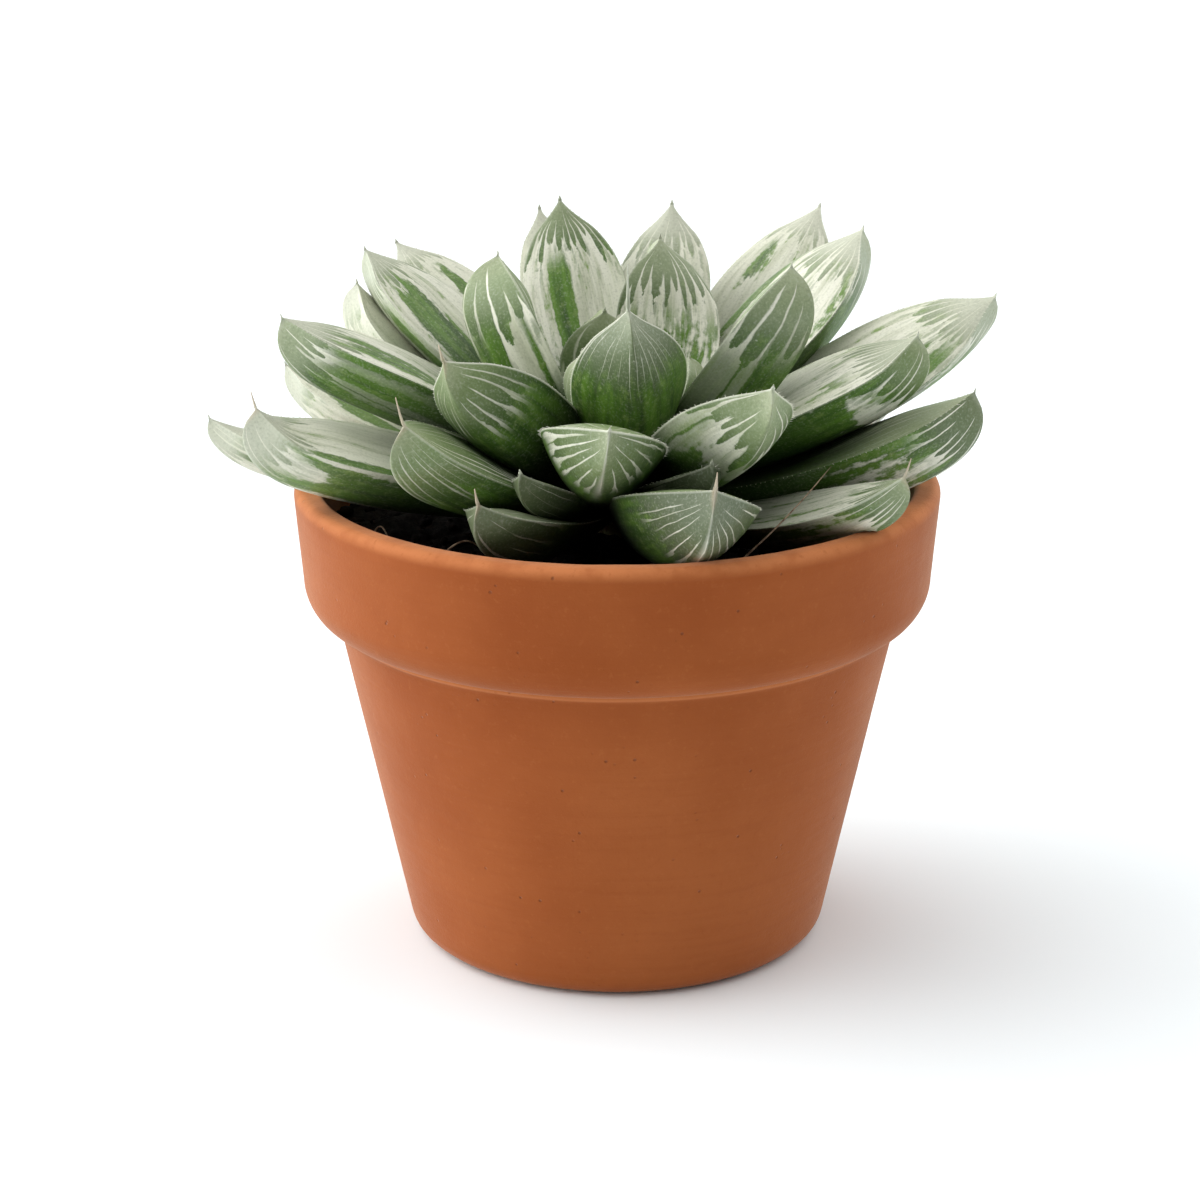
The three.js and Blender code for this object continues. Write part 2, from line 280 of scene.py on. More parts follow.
# painted highlight: the lip and the bead under the rim are made lighter in colour, in place of the
# light they catch
lip_highlight = clay.times(clay.ramp(pz, *LIP_HIGHLIGHT), clay.ramp(lumps, 0.25, 0.6, 0.5, 1.0))
bead_highlight = clay.times(clay.ramp(pz, *BEAD_UP), clay.ramp(pz, *BEAD_DOWN))
speck = clay.times(clay.ramp(sand, 0.2, 0.07), clay.ramp(sand_pick, 0.58, 0.68))
grain = clay.noise(place, 2600, 3, 0.65)
CLAY, CLAY_PALE, CLAY_DEEP = tone(156, 81, 33), tone(170, 97, 48), tone(145, 72, 28)
CLAY_HIGHLIGHT, CLAY_SPECK = tone(214, 136, 84), tone(96, 52, 34)
clay_colour = clay.coats(
    CLAY_DEEP,
    (clay.ramp(cloud, 0.3, 0.72), CLAY),
    (clay.ramp(drift, 0.35, 0.8, 0.0, 0.55), CLAY_PALE),
    (clay.ramp(rings, 0.45, 0.75, 0.0, 0.25), CLAY_DEEP),
    # the painted highlight on the lip and on the bead
    (clay.times(lip_highlight, 0.6), CLAY_HIGHLIGHT),
    (clay.times(bead_highlight, 0.45), CLAY_HIGHLIGHT),
    (clay.ramp(fleck, 0.55, 0.72, 0.0, 0.3), CLAY_PALE),
    (clay.ramp(fleck, 0.45, 0.28, 0.0, 0.3), CLAY_DEEP),
    (clay.times(speck, 0.55), CLAY_SPECK))
relief = clay.weighted((grain, 0.3), (speck, -0.8), (rings, 0.5), (lumps, 0.6))
clay.set(clay.shader, {
    "Base Color": clay_colour,
    "Roughness": clay.ramp(cloud, 0.2, 0.8, 0.88, 0.74),
    "Normal": clay.bump(relief, 0.0002, 0.9),
    "Specular IOR Level": 0.22,
    "Sheen Weight": 0.28,
    "Sheen Roughness": 0.35,
    "Sheen Tint": (1.0, 0.8, 0.62),
})
print("clay nodes:", len(clay.tree.nodes))

# %% [markdown]
# ## The pot
# A clay pot is turned, so one profile swept round an axis makes it. The profile is the measured
# one with its curves in finer steps, and the sweep has enough segments to look round. A real pot
# is never quite true: wall and rim waver by a tenth of a millimetre.

# %% Pot profile
RIM_R, RIM_FOOT_R, POT_H = 54.0, 52.8, 79.5
LIP_INNER_R, LIP_ROUND, LIP_EDGE, LIP_TAPER = 49.6, 1.8, 1.2, 0.03
RIM_FOOT_Z, CREASE_R, CREASE_Z = 63.5, 47.4, 57.0
BASE_R, BASE_ROUND, WALL, FLOOR, FLOOR_FILLET, DRAIN_R = 36.0, 4.0, 4.6, 6.0, 2.4, 6.0
INNER_STEP, PROFILE_STEP = 3.0, 3.0
BEAD = [(-0.36, -1.7), (-0.2, -1.1), (0.2, -0.75), (0.35, -0.4), (0.3, -0.05)]  # from the crease


def inner_wall(z):
    if z > CREASE_Z:
        return LIP_INNER_R - (POT_H - z) * LIP_TAPER
    return BASE_R - WALL + (CREASE_R - BASE_R) / CREASE_Z * z


def arc(cx, cz, rx, rz, start, end, steps):
    """Points on a part of an ellipse, from one angle in degrees to another."""
    turns = np.radians(np.linspace(start, end, steps + 1))
    return [(cx + rx * math.cos(t), cz + rz * math.sin(t)) for t in turns]


def with_steps(profile, step):
    """The same outline with extra points, so that no straight run is longer than step."""
    fine = []
    for (r0, z0), (r1, z1) in zip(profile, profile[1:] + profile[:1]):
        count = max(1, math.ceil(math.hypot(r1 - r0, z1 - z0) / step))
        fine += [(r0 + (r1 - r0) * i / count, z0 + (z1 - z0) * i / count) for i in range(count)]
    return fine


pot_profile = [(DRAIN_R, 0.0)]
pot_profile += arc(BASE_R - BASE_ROUND, BASE_ROUND, BASE_ROUND, BASE_ROUND, -90, -12, 9)
pot_profile += [(CREASE_R + out, CREASE_Z + up) for out, up in BEAD]
rim_foot = (CREASE_R, RIM_FOOT_Z, RIM_FOOT_R - CREASE_R, RIM_FOOT_Z - CREASE_Z)
pot_profile += arc(*rim_foot, -78, 0, 14)
pot_profile += arc(RIM_R - LIP_ROUND, POT_H - LIP_ROUND, LIP_ROUND, LIP_ROUND, 0, 90, 9)
pot_profile += arc(LIP_INNER_R + LIP_EDGE, POT_H - LIP_EDGE, LIP_EDGE, LIP_EDGE, 90, 180, 7)
for z in (CREASE_Z + INNER_STEP, CREASE_Z - INNER_STEP, FLOOR + FLOOR_FILLET):
    pot_profile.append((inner_wall(z), z))
pot_profile += [(inner_wall(FLOOR) - FLOOR_FILLET, FLOOR), (DRAIN_R, FLOOR)]
pot_profile = with_steps(pot_profile, PROFILE_STEP)
print("pot profile points:", len(pot_profile))

# %% The pot, swept round its axis
POT_SECTORS = 200
POT_WAVER = 0.12  # mm


def sweep_round(profile, sectors, nudge):
    """Points and faces of a closed profile turned round the pot's axis."""
    points = []
    for r, z in profile:
        for k in range(sectors):
            turn = 2 * math.pi * k / sectors
            dr, dz = nudge(r, z, turn)
            x = POT_AXIS_X + (r + dr) * math.cos(turn)
            points.append((x, (r + dr) * math.sin(turn), z + dz))
    return points, ring_faces(len(profile), sectors)


def pot_waver(r, z, turn):
    way = (math.cos(turn), math.sin(turn))
    slow = fractal(1.3 * way[0], 1.3 * way[1], z * 0.02)
    high = fractal(2 * way[0] + 9, 2 * way[1], 4.0) if z > POT_H - 3 else 0.0
    return -POT_WAVER * abs(slow), -POT_WAVER * abs(high)


pot = make_piece("pot_body", *sweep_round(pot_profile, POT_SECTORS, pot_waver),
                 clay.block, "terracotta", "pot")
print("pot faces:", len(pot.data.polygons))

# %% [markdown]
# ## Soil
# Potting soil is almost black between the leaves, a mix of peat crumbs and a few chips of bark.
# The surface is a disc of rings pushed up and down by noise, with small lumps strewn on it. The
# lumps are cut from a coarse ball and dented one by one, so that no two look alike.

# %% Soil finish
soil = Finish("dark_soil")
place = soil.place()
mould = soil.noise(place, 900, 5, 0.7)
peat = soil.noise(place, 230, 3, 0.6)
soil_colour = soil.coats(
    tone(9, 7, 5),
    (soil.ramp(mould, 0.35, 0.7), tone(34, 26, 20)),
    (soil.ramp(peat, 0.6, 0.78, 0.0, 0.6), tone(62, 42, 30)))
soil.set(soil.shader, {
    "Base Color": soil_colour,
    "Roughness": soil.ramp(mould, 0.2, 0.8, 0.98, 0.82),
    "Normal": soil.bump(mould, 0.0006, 0.9),
    "Specular IOR Level": 0.2,
})
print("soil nodes:", len(soil.tree.nodes))

# %% Soil body
SOIL_TOP, SOIL_BUMP, SOIL_SUNK = 70.2, 0.7, 0.3
SOIL_RINGS, SOIL_SECTORS = 44, 150
SOIL_SIDE_Z, SOIL_CREASE_Z, SOIL_FOOT_R = 60.5, 54, 30.5
STEM_R = 4.6
GAP = 0.3  # mm, between the soil and the pot or the stem


def soil_height(x, y):
    """Height of the soil at a place measured from the pot's axis, in mm."""
    hills = math.sin(x * 0.31 + 1.7) * math.cos(y * 0.27) + 0.6 * math.sin(x * 0.53 - y * 0.61)
    crumbs = 0.8 * fractal(x * 0.28, y * 0.28, 3.0) + 0.5 * fractal(x * 0.9, y * 0.9, 8.0)
    return SOIL_TOP + SOIL_BUMP * hills + crumbs - SOIL_SUNK


soil_side = inner_wall(SOIL_TOP) - GAP
soil_rings = []  # radius and height; no height means the uneven top
for i in range(SOIL_RINGS + 1):
    r = STEM_R + GAP + (soil_side - STEM_R - GAP) * (i / SOIL_RINGS) ** 0.9
    soil_rings.append((r, None))
soil_rings += [(soil_side, SOIL_SIDE_Z), (inner_wall(SOIL_CREASE_Z) - GAP, SOIL_CREASE_Z),
               (SOIL_FOOT_R, FLOOR + GAP), (STEM_R + GAP, FLOOR + GAP)]
soil_points = []
for r, z in soil_rings:
    for k in range(SOIL_SECTORS):
        turn = 2 * math.pi * k / SOIL_SECTORS
        x, y = r * math.cos(turn), r * math.sin(turn)
        soil_points.append((POT_AXIS_X + x, y, soil_height(x, y) if z is None else z))
soil_faces = [(a, d, c, b) for a, b, c, d in ring_faces(len(soil_rings), SOIL_SECTORS)]
soil_body = make_piece("soil_body", soil_points, soil_faces, soil.block, "soil", "soil")
print("soil faces:", len(soil_body.data.polygons))

# %% Soil crumbs
CRUMBS = 420
CRUMB_SIZES = (0.35, 0.45, 0.6, 0.8, 1.2)  # mm
CRUMB_REACH, CRUMB_LIFT, CRUMB_FLAT = 0.97, 0.25, 0.7
crumb_dice = random.Random(11)
ball = [(math.cos(a) * math.cos(e), math.sin(a) * math.cos(e), math.sin(e))
        for e in np.radians((-50, 0, 50)) for a in np.radians(range(0, 360, 60))]
ball += [(0, 0, -1), (0, 0, 1)]
ball_faces = []
for k in range(6):
    n = (k + 1) % 6
    ball_faces += [(k, n, 6 + n, 6 + k), (6 + k, 6 + n, 12 + n, 12 + k),
                   (18, n, k), (19, 12 + k, 12 + n)]
crumb_points, crumb_faces = [], []
for _ in range(CRUMBS):
    r = soil_side * CRUMB_REACH * math.sqrt(crumb_dice.uniform(0.03, 1))
    turn = crumb_dice.uniform(0, 2 * math.pi)
    x, y = r * math.cos(turn), r * math.sin(turn)
    size = crumb_dice.choice(CRUMB_SIZES)
    stretch = [crumb_dice.uniform(0.7, 1.5) for _ in range(3)]
    spin = crumb_dice.uniform(0, math.pi)
    crumb_faces += shifted(ball_faces, len(crumb_points))
    for bx, by, bz in ball:
        dent = size * crumb_dice.uniform(0.75, 1.15)
        qx, qy = bx * stretch[0] * dent, by * stretch[1] * dent
        crumb_points.append((
            POT_AXIS_X + x + qx * math.cos(spin) - qy * math.sin(spin),
            y + qx * math.sin(spin) + qy * math.cos(spin),
            soil_height(x, y) + CRUMB_LIFT * size + bz * stretch[2] * dent * CRUMB_FLAT))
crumbs = make_piece("soil_crumbs", crumb_points, crumb_faces, soil.block, "soil")
print("crumbs:", CRUMBS, "with", len(crumbs.data.polygons), "faces")

# %% [markdown]
# ## The leaves: one recipe, many habits
# Every leaf is the same kind of thing: a boat with a flat deck and a keeled hull, narrow at the
# root, widest past the middle, drawn to a bristle at the tip. What differs is its habit: which
# way it points, how steeply it rises, how long and wide it is, how it curls, how far its prow
# turns up, how it rolls and sweeps, how deep and how round-bellied it is, and how long its
# bristle is. So the list below holds one line a leaf, and one function turns it into a skin.

# %% Habits of the leaves
HABIT = dict(curl=5, prow=10, roll=0, sweep=0, depth=0.47, awn=0.6, belly=0)


def habit(turn, lift, length, width, **extra):
    """turn, lift, curl, prow, roll and sweep in degrees; length, width and awn in mm; depth is
    a share of the width. The youngest leaf comes first."""
    return dict(HABIT, turn=turn, lift=lift, length=length, width=width, **extra)


LEAVES = {
    "heart_core": habit(-20, 86, 15.5, 9),
    "heart_left": habit(108, 80, 23.5, 16, curl=4, roll=-5),
    "heart_bud": habit(-114, 63, 24, 10, curl=-5),
    "inner_left": habit(164, 63, 38, 22, curl=2, prow=0, roll=26),
    "heart_right": habit(16, 61.5, 19.5, 11, curl=-1, prow=5),
    "heart_back": habit(43, 55, 41, 18, curl=3, prow=8, roll=13, sweep=70),
    "heart_front": habit(-81, 54, 39.5, 19, prow=14, roll=10, sweep=-13, awn=6, curl=10),
    "inner_right": habit(-24, 53.5, 45.5, 21, curl=6, prow=0),
    "back_left": habit(107, 50.5, 50, 18, curl=6, prow=16, roll=-16),
    "back_right": habit(73, 46, 52, 18, curl=9, prow=16, roll=-5, sweep=6),
    "right_back_low": habit(28, 40.5, 57.5, 22, curl=0, prow=0, roll=5),
    "left_back": habit(154, 38, 56, 18, curl=-13, prow=0, roll=-6),
    "front_left": habit(-133, 37, 45, 19, curl=1, prow=0, roll=33, awn=2.5),
    "right_back": habit(52, 34.5, 66.5, 20, curl=13, prow=0, roll=9),
    "back_shaded": habit(105, 34.5, 62, 14, curl=4, prow=12),
    "left_back_low": habit(155, 32, 54.5, 18, curl=21, prow=12, roll=10),
    "front_right": habit(-54, 31, 51, 19, curl=-3, prow=3, roll=-12, sweep=-13),
    "left_back_shaded": habit(132, 30.5, 63.5, 17, curl=-8, prow=0, roll=-18),
    "left": habit(-167, 30.5, 60.5, 21, curl=-28, prow=8, roll=-3),
    "right_front": habit(-18, 30, 55, 21, curl=-20, prow=20, roll=13),
    "right": habit(2, 28.5, 66.5, 20, curl=6, prow=0, roll=30),
    "front": habit(-98, 27, 49, 20, curl=-23, prow=0, roll=-8, sweep=14, belly=0.35),
    "rear_high": habit(88, 26.5, 54, 20),
    "front_left_low": habit(-132, 23.5, 49.5, 21, curl=3, prow=12, roll=-18, awn=4.5),
    "rear_left": habit(120, 21.5, 53, 20),
    "front_right_small": habit(-68, 21.5, 38, 12, curl=3, prow=15, depth=0.36),
    "right_low": habit(-13, 20, 59, 22, curl=15, prow=7),
    "front_left_small": habit(-112, 20, 38.5, 10, curl=13),
    "rear_right": habit(61, 18, 58, 20),
    "front_right_low": habit(-70, 17, 53.5, 22, curl=11, prow=6, roll=-10, sweep=-10, awn=3,
                             belly=0.3),
    "left_low": habit(-158, 17, 61.5, 21, curl=-6, prow=32, roll=-10, awn=2.5),
    "left_shaded": habit(158, 16.5, 60, 17, curl=7, prow=0),
    "rear_right_low": habit(31, 16, 56.5, 18, curl=8),
    "rear_left_low": habit(135, 14.5, 58, 18, curl=19),
    "right_front_low": habit(-40, 14, 56, 15, curl=24, prow=9, roll=12, awn=3),
    "rear_low": habit(97, 14, 50, 19, curl=9),
    "front_lowest": habit(-118, 13, 43, 16, curl=13, prow=18, awn=2.5),
    "left_lowest": habit(-179, 11.5, 65, 16, curl=2, prow=16, roll=6, depth=0.4),
}
print("leaves:", len(LEAVES))

# %% [markdown]
# ## The run of a leaf
# First comes the line along the middle of the deck. It starts on the stem and climbs; at every
# step the direction changes a little, by the leaf's curl, by the upturn of its prow and by its
# sweep to one side. Two more directions go with it: across the deck, and out of it.

# %% Midline of a leaf
SEAT_R, SEAT_R_STEEP, SEAT_Z, SEAT_Z_STEEP = 5.0, 3.0, 73.0, 83.0
PROW_FROM = 0.8
STEPS = 80


def smooth(low, high, x):
    """A smooth step: 0 below low, 1 above high."""
    t = np.clip((np.asarray(x, float) - low) / (high - low), 0, 1)
    return t * t * (3 - 2 * t)


def midline(leaf):
    s = np.linspace(0, 1, STEPS)
    upturn = leaf["prow"] * smooth(PROW_FROM, 1, s)
    rise = np.radians(leaf["lift"] + leaf["curl"] * (s - 0.5) + upturn)
    way = np.radians(leaf["turn"] + leaf["sweep"] * s)
    along = np.stack([np.cos(rise) * np.cos(way), np.cos(rise) * np.sin(way), np.sin(rise)], 1)
    flat = np.stack([-np.sin(way), np.cos(way), 0 * way], 1)
    up = np.cross(along, flat)
    roll = math.radians(leaf["roll"])
    across = flat * math.cos(roll) + up * math.sin(roll)
    out = np.cross(along, across)
    steep = math.sin(math.radians(leaf["lift"]))
    seat = SEAT_R + (SEAT_R_STEEP - SEAT_R) * steep
    turn = math.radians(leaf["turn"])
    at = np.zeros((STEPS, 3))
    at[1:] = np.cumsum((along[1:] + along[:-1]) / 2, 0) * leaf["length"] / (STEPS - 1)
    foot = (seat * math.cos(turn), seat * math.sin(turn), SEAT_Z + (SEAT_Z_STEEP - SEAT_Z) * steep)
    return at + np.array(foot), along, across, out


print("tip of the front leaf:", midline(LEAVES["front"])[0][-1].round(1))

# %% [markdown]
# ## The skin of a leaf
# Rings of points are strung along that line. The upper half of a ring is the deck: slightly
# hollow near the root, swelling towards the tip, where the real leaf has its glassy windows. The
# lower half is the hull, round at the root and keeled at the tip. First comes the outline: how
# wide and how deep a leaf is on its way to the tip, as a share of its greatest width and depth.

# %% Outline of a leaf
WIDEST_AT, ROOT_WIDTH, ROOT_DEPTH, TIP_R = 0.62, 0.34, 0.45, 0.33
SPIRE, SPIRE_FROM = 0.36, 0.88


def swell(s, at_root, power):
    """Growth from the root to the widest place."""
    return at_root + (1 - at_root) * np.sin(np.clip(s / WIDEST_AT, 0, 1) * math.pi / 2) ** power


def taper(s, power, blunt):
    """Decline from the widest place to the tip."""
    return (1 - np.clip((s - WIDEST_AT) / (1 - WIDEST_AT), 0, 1) ** power) ** blunt


def width_share(s):
    spire = 1 - SPIRE * smooth(SPIRE_FROM, 1.0, s)
    return np.where(s < WIDEST_AT, swell(s, ROOT_WIDTH, 1.15), taper(s, 2.3, 0.92) * spire)


def depth_share(s):
    return np.where(s < WIDEST_AT, swell(s, ROOT_DEPTH, 1.1), taper(s, 3, 0.42))


print("width near the root, half-way and near the tip:",
      width_share(np.array([0.1, 0.5, 0.9])).round(2))

# %% [markdown]
# Then the rings. Their points crowd at the two margins, so that the edge stays crisp, and the
# rings themselves crowd towards the tip, where the shape changes fastest. Faint waves along and
# across the deck keep a leaf from looking moulded.

# %% Rings of a leaf
CROWN_ROOT, CROWN_GAIN, CROWN_TIP, TIP_FROM = -0.05, 0.22, 0.1, 0.97
WAVE, RIPPLE = 0.006, 0.008
KEEL_ROUND, KEEL_SHARPENS = 1.9, 0.6
DECK_POINTS, HULL_POINTS = 19, 27
LEAF_RINGS, TIP_CROWDED = 62, 1.25

DECK_X = np.sin(np.linspace(-math.pi / 2, math.pi / 2, DECK_POINTS))
HULL_X = np.cos(np.linspace(0, math.pi, HULL_POINTS + 2))[1:-1]
RING = DECK_POINTS + HULL_POINTS


def leaf_rings(leaf, dice):
    """Points of all rings, each ring's place along the leaf and half-width, and the tip."""
    at, along, across, out = midline(leaf)
    s_all = 1 - (1 - np.linspace(0, 1, LEAF_RINGS)) ** TIP_CROWDED
    waves = [(dice.uniform(4, 9), dice.uniform(1, 3), dice.uniform(0, 6.3)) for _ in range(3)]
    rows, halves = [], []
    for s in s_all:
        pick = s * (STEPS - 1)
        i = min(int(pick), STEPS - 2)
        t = pick - i
        c, a, o = (v[i] * (1 - t) + v[i + 1] * t for v in (at, across, out))
        w = max(leaf["width"] / 2 * float(width_share(s)), TIP_R)
        d = max(leaf["width"] * leaf["depth"] * float(depth_share(s)), TIP_R)
        crown = w * (CROWN_ROOT + CROWN_GAIN * float(smooth(0.4, 0.86, s)))
        if s > TIP_FROM:
            crown = w * CROWN_TIP
        wave = sum(math.sin(f * s * math.pi + p) for f, g, p in waves) * WAVE * w
        keel = KEEL_ROUND - KEEL_SHARPENS * s + leaf["belly"]
        ring = []
        for x in DECK_X:
            ripple = wave + RIPPLE * w * math.sin(waves[0][1] * 2 * x + waves[1][2])
            ring.append(c + a * w * x + o * ((crown + ripple) * (1 - x * x)))
        for x in HULL_X:
            ring.append(c + a * w * x - o * (d * (1 - abs(x) ** keel) ** 0.9))
        rows.append(ring)
        halves.append(w)
    return np.array(rows), s_all, np.array(halves), (at[-1], along[-1], across[-1], out[-1])


print("points in a ring:", RING)

# %% [markdown]
# The bristle is drawn out of the tip by a few more rings, which shrink and rise as they go.

# %% Rings of the bristle
AWN_RINGS = 7
AWN_ALONG, AWN_RISE, AWN_END_R = 0.5, 0.75, 0.09


def awn_rings(leaf, tip):
    """Rings that draw the tip out into the bristle."""
    at, along, across, out = tip
    rows = []
    for t in np.linspace(0, 1, AWN_RINGS + 1)[1:]:
        c = at + along * (AWN_ALONG * leaf["awn"] * t)
        c = c + np.array([0, 0, AWN_RISE * leaf["awn"] * t ** 1.4])
        r = TIP_R * (1 - t) ** 1.3 + AWN_END_R
        turns = np.concatenate([np.linspace(math.pi, 0, DECK_POINTS),
                                -np.linspace(0, math.pi, HULL_POINTS + 2)[1:-1]])
        lift = np.sin(turns) * np.where(turns > 0, 0.3 + 0.7 * t, 1)
        rows.append([c + across * r * math.cos(q) + out * r * h for q, h in zip(turns, lift)])
    return np.array(rows)


print("rings in all:", LEAF_RINGS + AWN_RINGS)

# %% [markdown]
# ## Resting on the pot
# The low leaves lie on the soil and lean over the rim. Clay doesn't give and a fat leaf does, so
# each point that would sink into the pot or the soil is lifted onto it. The surface it is lifted
# to rises in a gentle slope on both sides of the lip, as a leaf bridges a step without a crease.

# %% Lift what would sink in
BED_SLOPE, BED_GAP, BED_END, SOIL_CLEAR = 1.3, 0.1, 9, 1.3
LIP_FROM, LIP_TO = LIP_INNER_R + 1.0, 0.6


def bed_height(r):
    """Height of what a leaf rests on, at radius r from the pot's axis."""
    off_lip = np.maximum(np.maximum(LIP_FROM - r, r - RIM_R + LIP_TO), 0)
    lip = POT_H + BED_GAP - BED_SLOPE * off_lip
    ground = np.where(r < LIP_INNER_R, SOIL_TOP + SOIL_CLEAR, 0)
    return np.where(r < RIM_R + BED_END, np.maximum(lip, ground), 0)


def lift_onto_bed(points):
    r = np.hypot(points[..., 0], points[..., 1])
    lifted = points.copy()
    lifted[..., 2] = np.maximum(points[..., 2], bed_height(r))
    return lifted


print("bed at 20, 46, 52 and 56 mm:", bed_height(np.array([20, 46, 52, 56])).round(1))

# %% [markdown]
# ## Where a leaf is green
# No two leaves of this plant are striped alike. Near the tip each has windows, grey-green and
# glassy, crossed by thin pale veins. Below them the veins widen and run down like drips of milk,
# and under the drips the leaf is cream or deep green. A leaf's stripes are noted here in words a
# painter would use: how far down the windows reach, how milky the drips are, how green the body
# is, how washed-out it all looks, and then a few strokes of green or cream, listed one by one. Each
# leaf has its count of veins, its deck and its hull; a leaf that isn't listed gets the usual ones.

# %% Words for stripes
def side(window, drip, green, fade=0.0, *strokes):
    """Stripes of one side. window: share of the length where the windows end. drip and green: 0
    to 1. fade: + for washed-out, - for deep. A stroke is (across, along, half-width, half-length,
    strength), with + for green, and may end with the drip that it adds."""
    return dict(window=window, drip=drip, green=green, fade=fade, strokes=strokes)


DECK_USUAL = side(0.62, 0.9, 0.15, 0.15)
HULL_USUAL = side(0.72, 0.55, 0.55, 0.15)
print("a usual deck:", DECK_USUAL)

